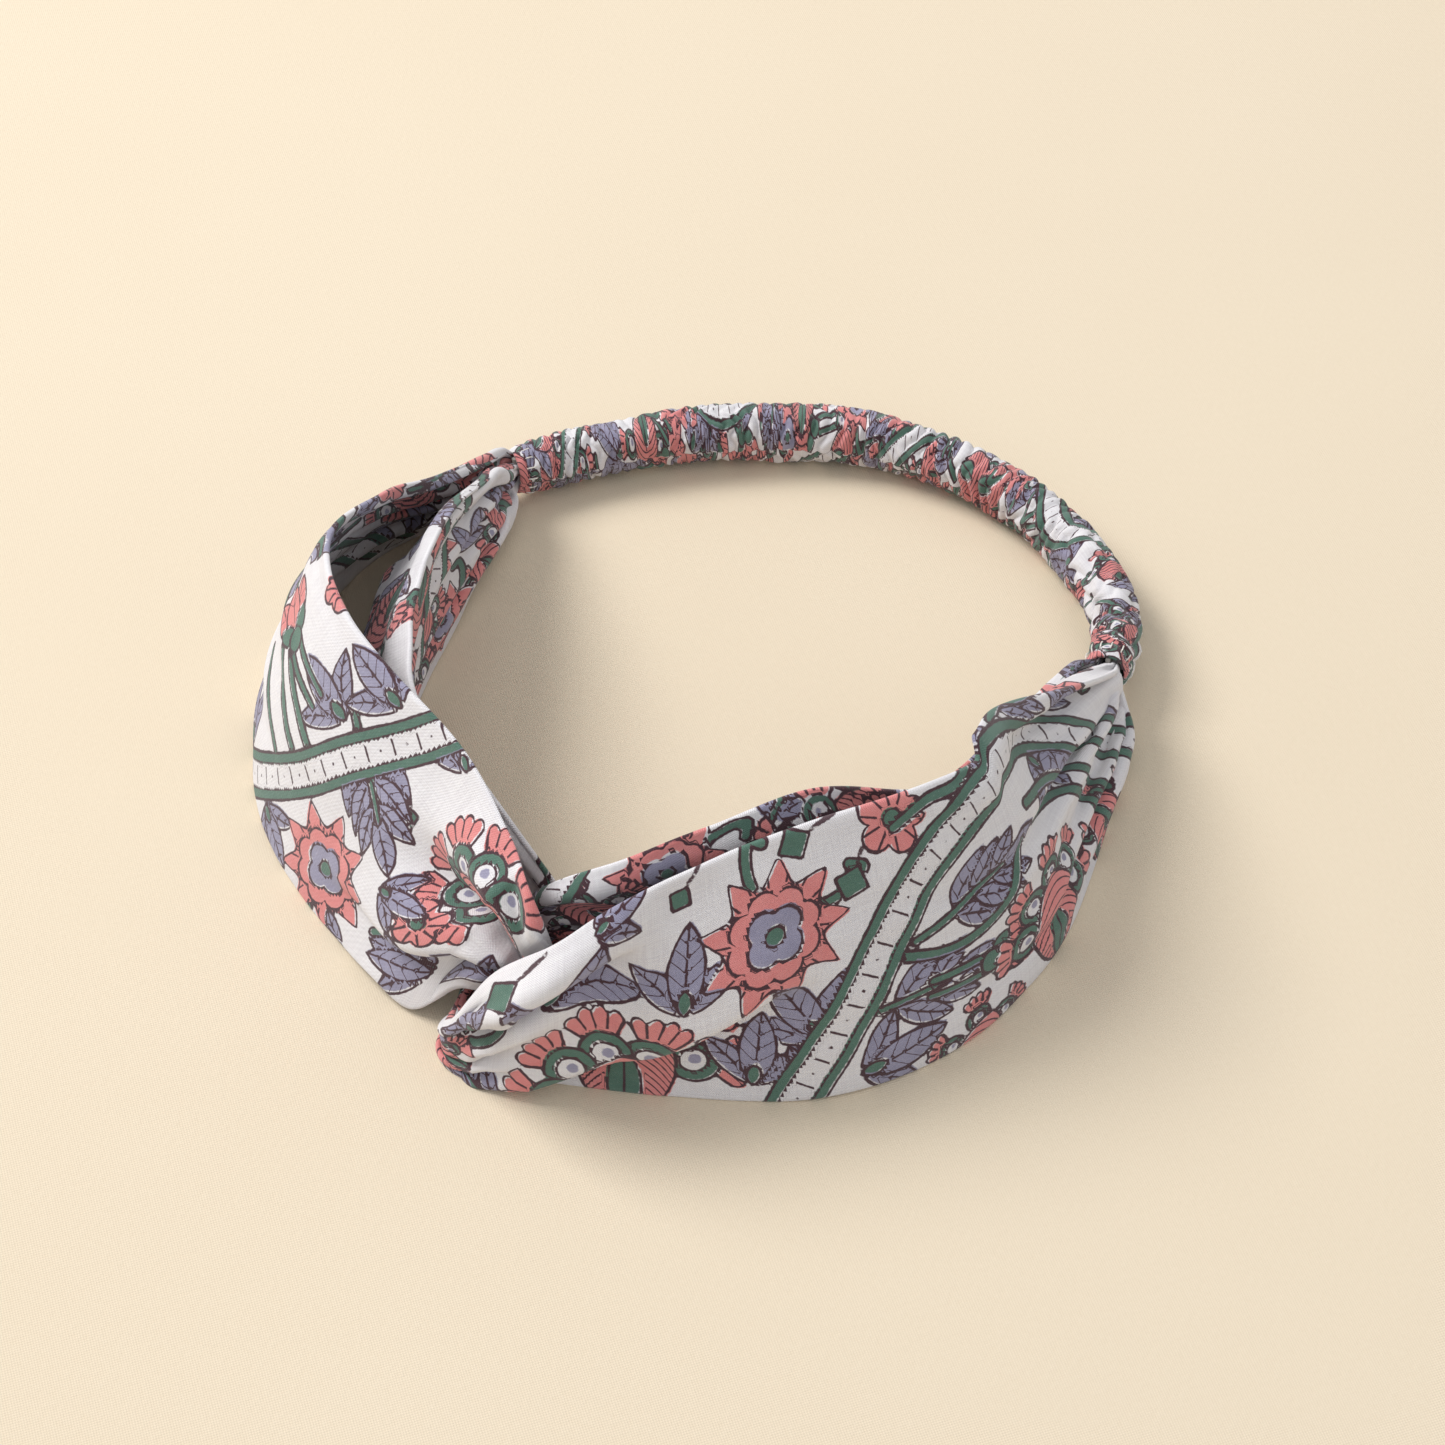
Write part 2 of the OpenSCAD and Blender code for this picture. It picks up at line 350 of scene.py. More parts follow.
def mouth(side, ring=0):
    """Point on the casing's axis, so many rings in from a mouth; side is -1 left and 1 right."""
    return casing_knots[ring if side < 0 else len(casing_knots) - 1 - ring]


def inwards(side, ring=0):
    """Direction into the casing from a mouth."""
    k = ring if side < 0 else len(casing_knots) - 1 - ring
    ahead = casing_knots[min(k + 1, len(casing_knots) - 1)] - casing_knots[max(k - 1, 0)]
    return unit(ahead) * -side


def outwards(side, ring=0):
    """Level direction across the casing, away from the head."""
    return unit(np.cross([0, 0, 1], inwards(side, ring))) * -side


def leg_end(side, out, ring):
    """Station of a gathered leg inside the casing: out is 1 for the outer leg, -1 for the inner."""
    p = mouth(side, ring) + out * LEG_OFFSET * outwards(side, ring)
    half = np.array([0, 0, END_HEIGHT / 2])
    return [p - half, p + half]


def whole_band(legs, side):
    """All stations of a band, from the casing round the knot and back to the casing."""
    return np.array([
        leg_end(side, 1, END_RINGS), leg_end(side, 1, 0), *legs,
        leg_end(side, -1, 0), leg_end(side, -1, END_RINGS)
    ], float)


right_stations = whole_band(RIGHT_LEGS, 1)
left_stations = whole_band(LEFT_LEGS, -1)
print("stations with the ends:", len(right_stations), "right,", len(left_stations), "left")

# %% [markdown]
# ## Folding a band across its width
# The cloth is 60 mm wide everywhere, but its edges come as close as 8 mm where it is gathered.
# The spare width has to go into folds, and no two of them are alike. They could be sculpted one
# by one. Here they come from a rule with smooth noise in it, so that a fold can be moved by
# changing a number. The noise is a lattice of random values with soft steps between them.

# %% Soft noise and steps
LATTICE = 64


def ease(x):
    """0 below 0, 1 above 1 and a smooth step between."""
    x = np.clip(x, 0, 1)
    return x * x * (3 - 2 * x)


def soft_noise(x, y, seed):
    """Smooth values between -1 and 1 that change over about one unit of x and y."""
    lattice = np.random.default_rng(seed).uniform(-1, 1, (LATTICE, LATTICE))
    xi, yi = np.floor(x).astype(int), np.floor(y).astype(int)
    fx, fy = ease(x - xi), ease(y - yi)

    def corner(i, j):
        return lattice[(xi + i) % LATTICE, (yi + j) % LATTICE]

    low = corner(0, 0) * (1 - fx) + corner(1, 0) * fx
    high = corner(0, 1) * (1 - fx) + corner(1, 1) * fx
    return low * (1 - fy) + high * fy


# %% [markdown]
# ### The path across a band
# The cross-section is walked from edge to edge as a path whose slope swings to and fro: the
# steeper the swing, the shorter the path's span. So for each ring the swing is found that makes
# 60 mm of cloth fit between the rails. Long folds that can be seen on the real one, such as the
# crease below the knot, are added to the slope one by one.

# %% Rings of a band
CLOTH_WIDTH = 60.0
RING_GAP = 0.62
EDGE_ROUND = 0.8
STEEPEST_SWING = 1.8
HALVINGS = 24


def across_steps(gap):
    """Places across the width, closer together where the cloth turns round an edge."""
    inner = np.arange(EDGE_ROUND + gap, CLOTH_WIDTH - EDGE_ROUND - gap / 2, gap)
    edge = [0, 0.12, 0.4, EDGE_ROUND]
    return np.array([*edge, *inner, *[CLOTH_WIDTH - e for e in reversed(edge)]])


def fold_slopes(s, v, folds):
    """Slope of the cross-section in the listed folds, for each ring and place across it.

    A ridge rises and falls again. A step goes out and stays out, and past a quarter turn the cloth
    above it hangs over the cloth below."""
    slopes = np.zeros((len(s), len(v)))
    for fold in folds:
        centre = np.interp(s, fold["s"], fold["v"])[:, None]
        swing = np.interp(s, fold["s"], fold["swing"])[:, None]
        x = (v[None] - centre) / fold["width"]
        shape = -x * np.exp(0.5 - x * x / 2) if fold["kind"] == "ridge" else np.exp(-x * x / 2)
        slopes += swing * shape
    return slopes


def gather_pattern(s, v, seed):
    """Slopes of the small gathers: uneven waves that wander along the band."""
    phase = v[None] / CLOTH_WIDTH
    drift = soft_noise(s[:, None] / 28, phase * 2.5, seed) * 0.5
    return (np.sin(math.tau * (4.5 * phase + drift))
            + 0.6 * np.sin(math.tau * (7.3 * phase + 1.3 * drift + 0.3))
            + 0.35 * np.sin(math.tau * (12.7 * phase - 0.9 * drift)))


def solve_swing(made, gathers, weights, share):
    """Swing of the gathers that leaves this share of the cloth's width between the rails.

    The span shrinks as the swing grows, so halving the range again and again finds the swing."""
    low, high = np.zeros(len(share)), np.full(len(share), STEEPEST_SWING)
    for _ in range(HALVINGS):
        middle = (low + high) / 2
        span = (np.cos(made + middle[:, None] * gathers) * weights).sum(1)
        low = np.where(span > share, middle, low)
        high = np.where(span > share, high, middle)
    return low


def path_across(slope, v, chord):
    """Walks the cross-section of every ring: how far up between the rails and how far out of the
    line between them each point lies."""
    steps = np.diff(v)[None]
    middle_slope = (slope[:, 1:] + slope[:, :-1]) / 2
    zero = np.zeros((len(slope), 1))
    up = np.hstack([zero, np.cumsum(np.cos(middle_slope) * steps, axis=1)])
    out = np.hstack([zero, np.cumsum(np.sin(middle_slope) * steps, axis=1)])
    size = (chord / up[:, -1])[:, None]
    return up * size, (out - out[:, -1:] * up / up[:, -1:]) * size


# %% [markdown]
# ### The folded sheet
# The path across is laid between the two rails at every ring, and together the rings make the
# middle surface of the band. Where two bands pass through each other there is little room, so
# the folds are held back softly to the reach that the plan of the band allows. Last come the
# broad swell of the lobes and two sizes of shallow wrinkles.

# %% Middle surface of a band
CURVE_STEPS = 24
LEAST_SHARE = 0.05
LEAST_REACH = 0.5
FULL_WRINKLES_AT = 50
BROAD_WRINKLES = (24, 17, 0.9)
FINE_WRINKLES = (9, 6, 0.22)


def by_length(table, s):
    """A value read from a list of (distance along the band, value)."""
    return np.interp(s, *np.transpose(table))


def wrinkles(s, v, size, seed, start=0):
    """Shallow waves, whose size is their length along and across the band and their height."""
    along, across, height = size
    return soft_noise(s[:, None] / along + start, v[None] / across, seed) * height


def band_surface(stations, outside, plan, seed):
    """Middle surface of a folded band, with the cloth's own coordinates s and v of its points.

    outside is 1 or -1 and picks the face that looks away from the ring on the outer leg. The plan
    says, along the band, how much of the spare width is gathered, how far the folds may stand out
    and how far the band swells."""
    low = smooth_line(stations[:, 0], CURVE_STEPS)
    high = smooth_line(stations[:, 1], CURVE_STEPS)
    where = lengths_along((low + high) / 2)
    s = np.linspace(0, where[-1], int(where[-1] / RING_GAP) + 1)
    low, high = at_lengths(low, where, s), at_lengths(high, where, s)
    v = across_steps(RING_GAP)
    chord = np.linalg.norm(high - low, axis=1)
    made = fold_slopes(s, v, plan["folds"])
    gathers = gather_pattern(s, v, seed)
    weights = np.gradient(v) / np.gradient(v).sum()
    share = np.clip(chord / CLOTH_WIDTH, LEAST_SHARE, 1)
    swing = solve_swing(made, gathers, weights, share) * by_length(plan["gathered"], s)
    up, out = path_across(made + swing[:, None] * gathers, v, chord)
    reach = np.maximum(by_length(plan["reach"], np.minimum(s, s[-1] - s)), LEAST_REACH)
    reach = np.minimum(reach, by_length(plan["knot_reach"], s))[:, None]
    out = reach * np.tanh(out / reach)
    share_up = up / chord[:, None]
    out += 4 * by_length(plan["bulge"], s)[:, None] * share_up * (1 - share_up)
    wide_share = np.clip(chord / FULL_WRINKLES_AT, 0, 1)[:, None]
    out += wrinkles(s, v, BROAD_WRINKLES, seed + 1, start=9) * wide_share
    out += wrinkles(s, v, FINE_WRINKLES, seed + 2)
    e_up = unit(high - low)
    e_out = unit(np.cross(directions((low + high) / 2), e_up)) * outside
    points = low[:, None] + up[..., None] * e_up[:, None] + out[..., None] * e_out[:, None]
    return {"points": points, "s": s, "v": v, "outside": outside, "out": e_out}


def surface_normals(surface):
    """Unit normals of a band's middle surface, on the side of its outer face."""
    points = surface["points"]
    across = np.cross(np.gradient(points, axis=0), np.gradient(points, axis=1))
    return unit(across) * surface["outside"]


# %% [markdown]
# ## From a surface to a sewn tube
# A band has two layers of cloth with a little air between them, closed by a rounded fold at each
# edge. The two layers are the middle surface moved out and in along its normals.

# %% Tube of cloth


def band_rings(surface, air, sag):
    """Closed rings of points round the band, with the cloth's coordinates of each point.

    air is the gap between the layers, and sag how far the inner layer hangs away from the outer."""
    points, s, v = surface["points"], surface["s"], surface["v"]
    normals = surface_normals(surface)
    from_edge = np.minimum(v, CLOTH_WIDTH - v)
    rounding = np.sqrt(np.clip(1 - (1 - np.clip(from_edge / EDGE_ROUND, 0, 1)) ** 2, 0, 1))
    half_gap = by_length(air, s)[:, None] / 2 * rounding[None]
    billow = 1 + soft_noise(s[:, None] / 22, v[None] / 18, 5) * 0.3
    front = points + normals * (half_gap * billow)[..., None]
    hang = by_length(sag, s)[:, None] * np.sin(np.pi * (v[None] / CLOTH_WIDTH) ** 0.8)
    hang = hang * (1 + 0.3 * soft_noise(s[:, None] / 14, v[None] / 12, 6))
    back = points - normals * half_gap[..., None] - surface["out"][:, None] * hang[..., None]
    keep = np.arange(1, len(v) - 1)[::-1][::2]
    rings = np.concatenate([front, back[:, keep]], axis=1)
    return rings, np.concatenate([v, 2 * CLOTH_WIDTH - v[keep]])


# %% [markdown]
# ### From rings to a mesh
# Neighbouring rings are joined by four-sided faces, and the first and the last ring are closed
# by a cap. The UV map holds the cloth's own length and width, in metres. A weave or a print that
# reads it follows the cloth through every fold, and space coordinates would cut across them.

# %% Mesh from rings
FLOOR_GAP = 0.05


def outward_volume(points, quads):
    """Signed volume inside quads, positive where their faces point outwards."""
    p = points[quads]
    first = np.einsum("ij,ij->i", p[:, 0], np.cross(p[:, 1], p[:, 2]))
    second = np.einsum("ij,ij->i", p[:, 0], np.cross(p[:, 2], p[:, 3]))
    return (first + second).sum() / 6


def tube_object(name, rings, along, around, whole_around, endless=False):
    """A closed mesh from rings of points in mm, with a cloth map in metres. Faces point outwards.

    The rings are capped at both ends, or endless ones join the last ring to the first."""
    n, m = rings.shape[:2]
    points = rings.reshape(-1, 3).copy()
    points[:, 2] = np.maximum(points[:, 2], FLOOR_GAP)
    points *= MM
    i, j = np.meshgrid(np.arange(n if endless else n - 1), np.arange(m), indexing="ij")
    i_next, j_next = (i + 1) % n, (j + 1) % m
    corners = [i * m + j, i * m + j_next, i_next * m + j_next, i_next * m + j]
    quads = np.stack(corners, -1).reshape(-1, 4)
    v_here, v_next = around[j], np.append(around, whole_around)[j + 1]
    u_here, u_next = along[i], along[i_next]
    map_u = np.stack([u_here, u_here, u_next, u_next], -1).reshape(-1, 4)
    map_v = np.stack([v_here, v_next, v_next, v_here], -1).reshape(-1, 4)
    caps = [] if endless else [list(range(m)), list(range((n - 1) * m, n * m))]
    inside_out = outward_volume(points, quads) < 0
    if inside_out:
        quads, map_u, map_v = quads[:, ::-1], map_u[:, ::-1], map_v[:, ::-1]
    if caps:
        caps[1 if inside_out else 0].reverse()
    mesh = bpy.data.meshes.new(name)
    mesh.from_pydata(points.tolist(), [], quads.tolist() + caps)
    uv = np.stack([map_u.ravel(), map_v.ravel()], 1) * MM
    uv = np.concatenate([uv, np.zeros((m * len(caps), 2))])
    mesh.uv_layers.new(name="cloth").data.foreach_set("uv", uv.ravel().astype(np.float32))
    mesh.polygons.foreach_set("use_smooth", np.ones(len(mesh.polygons), bool))
    mesh.update()
    made = bpy.data.objects.new(name, mesh)
    bpy.context.scene.collection.objects.link(made)
    print(name, "has", sum(len(face) - 2 for face in caps) + 2 * len(quads), "triangles")
    return made


# %% [markdown]
# ## A block print
# Each motif is stamped on the cloth as a signed distance in millimetres: positive inside the
# shape and zero on its outline. A distance changes smoothly, so it can be stored on the mesh's
# points and still give a crisp line in the shader. Every colour has its own block, printed a
# fraction of a millimetre off, as by hand. An image could carry the print too, but this one
# stays sharp from close up.

# %% The print's ink fields
BLOCK_SHIFT = {"pink": (0.4, -0.3), "green": (-0.3, 0.25), "lilac": (0.3, 0.45), "dark": (0, 0)}
LINE_ROOM = 0.5
FAR = 9.0


class Print:
    """Ink on a cloth: one value of each field for each point of its mesh."""

    def __init__(self, along, across):
        self.along = along
        self.across = across
        self.edge = np.full(along.shape, -FAR)
        self.vein = np.full(along.shape, FAR)
        self.ink = {colour: np.full(along.shape, -FAR) for colour in BLOCK_SHIFT}

    def local(self, near, at, turn, shift=(0, 0)):
        """Coordinates of the near points in a motif's own frame."""
        x = self.along[near] - at[0] - shift[0]
        y = self.across[near] - at[1] - shift[1]
        c, s = math.cos(math.radians(turn)), math.sin(math.radians(turn))
        return x * c + y * s, y * c - x * s

    def stamp(self, at, turn, reach, shape, colour=None, vein=None, outline=True):
        """Prints one shape, which is a function of a motif's own x and y."""
        near = np.abs(self.along - at[0]) + np.abs(self.across - at[1]) < 1.5 * reach + 2
        if not near.any():
            return
        x, y = self.local(near, at, turn)
        inside = shape(x, y)
        over = inside > -LINE_ROOM
        if outline:
            self.edge[near] = np.where(over, inside, np.maximum(self.edge[near], inside))
            veins = vein(x, y) if vein else np.full(x.shape, FAR)
            self.vein[near] = np.where(over, veins, self.vein[near])
        for ink, field in self.ink.items():
            if ink == "dark" and colour != "dark" and not outline:
                continue
            there = shape(*self.local(near, at, turn, BLOCK_SHIFT[ink]))
            if ink == colour:
                field[near] = np.maximum(field[near], there)
            elif outline:
                field[near] = np.minimum(field[near], -there)

    def store(self, mesh):
        """Writes the fields to the mesh's points."""
        fields = {"edge": self.edge, "vein": self.vein, **self.ink}
        for name, field in fields.items():
            values = np.clip(field, -FAR, FAR).astype(np.float32).ravel()
            mesh.attributes.new("print_" + name, "FLOAT", "POINT").data.foreach_set("value", values)


# %% [markdown]
# ### Shapes
# A leaf is where two discs overlap. A scalloped outline is a radius that swells and shrinks with
# the angle. A fan is a slice of one. The veins and ribs inside a shape are lines where another
# formula is zero.

# %% Simple shapes


def leaf(length, width, bend=0.0):
    """Pointed leaf from the origin along +x; bend curves it towards +y."""
    radius = (length ** 2 + width ** 2) / (4 * width)
    drop = radius - width / 2

    def shape(x, y):
        y = y - bend * x * x / length
        return np.minimum(radius - np.hypot(x - length / 2, y - drop),
                          radius - np.hypot(x - length / 2, y + drop))
    return shape


def leaf_veins(length, bend=0.0, pitch=2.8):
    """A midrib with slanted side veins. The value changes sign across every vein."""
    def vein(x, y):
        rib = y - bend * x * x / length
        side = pitch / np.pi * np.sin(np.pi * (x - 0.9 * np.abs(rib)) / pitch) * 2.4
        return np.sign(rib) * np.sign(side) * np.minimum(np.abs(rib), np.abs(side))
    return vein


def disc(radius):
    return lambda x, y: radius - np.hypot(x, y)


def half_hoop(radius, half_width):
    return lambda x, y: np.minimum(half_width - np.abs(np.hypot(x, y) - radius), x + radius * 0.2)


def scalloped(radius, lobes, depth, power=1.0, pointed=False):
    """Round outline with lobes, either round or pointed at their tips."""
    def shape(x, y):
        turn = np.arctan2(y, x)
        lobe = np.abs(np.cos(lobes * turn / 2)) ** power
        if pointed:
            lobe = 1 - np.abs(np.sin(lobes * turn / 2)) ** power
        return (radius * (1 - depth + depth * lobe) - np.hypot(x, y)) * 0.85
    return shape


def rays(count, phase=0.0):
    """Lines out from the middle, between lobes."""
    def vein(x, y):
        turn = np.arctan2(y, x) + phase
        return np.hypot(x, y) * np.cos(count * turn / 2) * 2 / count
    return vein


def fan(radius, lobes, half_angle):
    """Scalloped fan that opens along +x."""
    def shape(x, y):
        r, turn = np.hypot(x, y), np.arctan2(y, x)
        lobe = np.abs(np.sin(np.pi * lobes * (turn + half_angle) / (2 * half_angle))) ** 0.6
        rim = radius * (0.84 + 0.16 * lobe) - r
        sides = r * np.sin(np.clip(half_angle - np.abs(turn), -1.5, 1.5))
        return np.minimum(np.minimum(rim, sides), r - radius * 0.25)
    return shape


def fan_ribs(lobes, half_angle):
    """Lines between the lobes of a fan."""
    def vein(x, y):
        r, turn = np.hypot(x, y), np.arctan2(y, x)
        return r * 2 * half_angle / lobes / np.pi * np.sin(
            np.pi * lobes * (turn + half_angle) / (2 * half_angle))
    return vein


def diamond(radius):
    return lambda x, y: (radius - np.abs(x) - np.abs(y)) / math.sqrt(2)


# %% [markdown]
# ### Strokes
# A stem or a runner is everything near a curve. For each point of the cloth the nearest point of
# the curve is looked up, which gives how far off the curve it is and how far along.

# %% Strokes
STROKE_STEPS = 12


def near_curve(points, x, y):
    """Signed distance from a curve and the length along it, for each x, y."""
    line = smooth_line(points, STROKE_STEPS)
    length = lengths_along(line)
    ahead = directions(line)
    gap = np.hypot(x[:, None] - line[None, :, 0], y[:, None] - line[None, :, 1])
    k = gap.argmin(1)
    dx, dy = x - line[k, 0], y - line[k, 1]
    beyond = ((k == 0) | (k == len(line) - 1)) * np.abs(dx * ahead[k, 0] + dy * ahead[k, 1])
    off = dx * ahead[k, 1] - dy * ahead[k, 0]
    return np.hypot(off, beyond) * np.sign(off + 1e-9), length[k] + dx * ahead[k, 0] + dy * ahead[k, 1]


def stem(points, thick, thin=None):
    """Stroke along a curve, tapering from thick to thin."""
    thin = thick if thin is None else thin
    whole = lengths_along(smooth_line(points, STROKE_STEPS))[-1]

    def shape(x, y):
        off, run = near_curve(points, x, y)
        return (thick + (thin - thick) * np.clip(run / whole, 0, 1)) / 2 - np.abs(off)
    return shape


def turned(at, turn, x, y):
    """Point (x, y) of a frame that stands at a place and is turned by an angle in degrees."""
    c, s = math.cos(math.radians(turn)), math.sin(math.radians(turn))
    return at[0] + x * c - y * s, at[1] + x * s + y * c


# %% [markdown]
# ### Leaves
# Lilac leaves fill the ground of this kind of print, alone, in threes or in pairs on a stem. One
# leaf is drawn once, and the groups are made of turned copies of it.

# %% Leaf motifs


def lone_leaf(cloth, at, turn, size, colour="lilac", bend=0.0):
    cloth.stamp(at, turn, size, leaf(size, size * 0.4, bend), colour, leaf_veins(size, bend))


def flame(cloth, at, turn, size):
    """Three lilac leaves from one foot, the middle one longest."""
    for side in (-1, 1):
        lone_leaf(cloth, at, turn + 34 * side, size * 0.8, bend=0.22 * side)
    lone_leaf(cloth, at, turn, size)
    cloth.stamp(at, turn, size * 0.5, leaf(size * 0.3, size * 0.16), "green")


def spray(cloth, at, turn, size, pairs=3):
    """A green stem with pairs of lilac leaves and one at its tip."""
    for k in range(pairs):
        root = turned(at, turn, size * (0.2 + 0.55 * k / pairs), 0)
        for side in (-1, 1):
            lone_leaf(cloth, root, turn + side * 44, size * (0.5 - 0.06 * k), bend=-0.15 * side)
    lone_leaf(cloth, turned(at, turn, size * 0.62, 0), turn, size * 0.46)
    cloth.stamp(at, turn, size, stem([[-size * 0.1, 0], [size * 0.4, 0.4], [size * 0.7, 0]], 1.9, 1.3),
                "green")


# %% [markdown]
# ### Flowers
# Rosettes, tulips and fan blossoms are stamped from the back to the front, because a later
# shape covers the ink and the outline of what is under it.

# %% Flower motifs


def rosette(cloth, at, turn, size):
    """A pink flower of two rings of petals, with two green hooks behind it."""
    for side in (-1, 1):
        hook = [[0, 0], [size * 0.9, side], [size * 1.3, side * 4], [size * 1.15, side * 6]]
        cloth.stamp(at, turn + 200 + 130 * side, size * 1.4, stem(hook, 2.2), "green")
    cloth.stamp(at, turn, size, scalloped(size, 9, 0.34, 1.0, True), "pink", rays(18))
    cloth.stamp(at, turn + 18, size, scalloped(size * 0.62, 8, 0.2, 0.6), "pink")
    cloth.stamp(at, turn, size, scalloped(size * 0.4, 4, 0.3, 0.7), "lilac")
    cloth.stamp(at, turn, size, disc(size * 0.13), "green")


def small_flower(cloth, at, turn, size):
    cloth.stamp(at, turn, size, scalloped(size, 5, 0.36, 0.7), "pink", rays(10))
    cloth.stamp(at, turn, size, disc(size * 0.26), "green")


def tulip(cloth, at, turn, size):
    """A pink cup of three petals on a green sepal and a double stem."""
    for side in (-1, 1):
        foot = turned(at, turn, -size * 1.1, side * size * 0.14)
        stroke = stem([[0, 0], [size * 0.6, 0], [size * 1.1, 0]], 1.7)
        cloth.stamp(foot, turn, size * 1.2, stroke, "green")
    for side in (-1, 1):
        cloth.stamp(at, turn + 26 * side, size, leaf(size, size * 0.5), "pink", leaf_veins(size, 0, 9))
    cloth.stamp(at, turn, size, leaf(size * 1.02, size * 0.5), "pink", leaf_veins(size, 0, 9))
    for side in (-1, 1):
        cloth.stamp(at, turn + 48 * side, size, leaf(size * 0.55, size * 0.3), "green")
    cloth.stamp(at, turn, size, disc(size * 0.2), "green")


def fan_blossom(cloth, at, turn, size, fans=4):
    """Pink fans on green rings, round a striped body."""
    for k in range(fans):
        angle = turn - 90 + 180 * k / (fans - 1)
        root = turned(at, angle, size * 0.6, 0)
        cloth.stamp(root, angle, size * 0.7, fan(size * 0.5, 4, 0.68), "pink", fan_ribs(4, 0.68))
        cloth.stamp(root, angle, size * 0.4, disc(size * 0.24), "green")
        cloth.stamp(root, angle, size * 0.4, disc(size * 0.13))
        cloth.stamp(root, angle, size * 0.4, disc(size * 0.055), "lilac", outline=False)
    root = turned(at, turn, -size * 0.75, 0)
    cloth.stamp(root, turn, size * 1.3, leaf(size * 1.35, size * 0.9), "pink",
                lambda x, y: 0.85 * np.sin(1.7 * (x + 0.1 * y * y)))
    cloth.stamp(root, turn, size, leaf(size * 0.8, size * 0.3), "green", lambda x, y: y)


# %% [markdown]
# ### Lozenges, arches, runners and the vine
# Small marks fill the gaps, and long strokes tie the flowers together. The widest is a vine: two
# green runners with a ladder of dotted cells between them, along a curve given by a few points.

# %% Marks and runners
VINE_HALF = 5.0
STRIPE_HALF = 1.15
CELL = 6.5
DOT_ROOM = 1.2
DOT_RADIUS = 0.15


def lozenge(cloth, at, turn, size):
    """A green diamond on a thin dark stalk."""
    stroke = stem([[0, 0], [size * 1.2, 0.3], [size * 2.6, 0]], 0.9)
    cloth.stamp(at, turn, size * 3, stroke, "dark", outline=False)
    cloth.stamp(at, turn, size, diamond(size), "green")


def arches(cloth, at, turn, size):
    """Green and lilac arches, one inside the other."""
    for share, colour in ((1.0, "green"), (0.76, "lilac"), (0.52, "green"), (0.28, "lilac")):
        cloth.stamp(at, turn, size * 1.2, half_hoop(size * share, size * 0.09), colour)


def stalk(cloth, points):
    """A short green runner."""
    middle = np.mean(points, axis=0)
    route = np.asarray(points, float) - middle
    cloth.stamp(middle, 0, np.ptp(points, axis=0).sum(), stem(route, 2.2), "green")


def vine(cloth, points):
    """Two green runners with a ladder of dotted cells between them."""
    points = np.asarray(points, float)
    reach = np.ptp(points, axis=0).sum() + VINE_HALF
    middle = points.mean(0)
    route = points - middle

    def ladder(x, y):
        off, run = near_curve(route, x, y)
        rung = CELL / np.pi * np.sin(np.pi * run / CELL)
        dot = np.hypot((run % CELL) - CELL / 2, off)
        side = np.where(rung < 0, -1, 1)
        return np.where(dot < DOT_ROOM, side * (dot - DOT_RADIUS), rung)

    def whole(x, y):
        return VINE_HALF - np.abs(near_curve(route, x, y)[0])

    def runners(x, y):
        off, _ = near_curve(route, x, y)
        return STRIPE_HALF - np.abs(np.abs(off) - VINE_HALF + STRIPE_HALF)

    cloth.stamp(middle, 0, reach, whole, None, ladder)
    cloth.stamp(middle, 0, reach, runners, "green")


# %% [markdown]
# ### Where the motifs fall
# Places are given along the cloth from the middle of the knot, positive on the outer leg, and up
# from the band's lower edge, in millimetres. The outer face runs from 0 to 60 up, and the other
# face follows it from 60 to 120. First the parts that are hardly seen are filled by a loose grid
# with a seeded random choice of motifs.

# %% Scattered motifs


def scatter(cloth, first, last, low, high, seed, gap=21):
    """Fills a stretch of cloth with one motif per cell of a loose grid."""
    rng = np.random.default_rng(seed)
    kinds = [rosette, spray, fan_blossom, tulip, flame, spray, fan_blossom]
    sizes = [12.5, 25, 15, 13, 18, 22, 13]
    for row, y in enumerate(np.arange(low, high, gap * 0.9)):
        for x in np.arange(first + gap / 2 * (row % 2), last, gap):
            k = int(rng.integers(len(kinds)))
            at = (x + rng.uniform(-3, 3), y + gap * 0.55 + rng.uniform(-3, 3))
            kinds[k](cloth, at, float(rng.uniform(0, 360)), sizes[k])
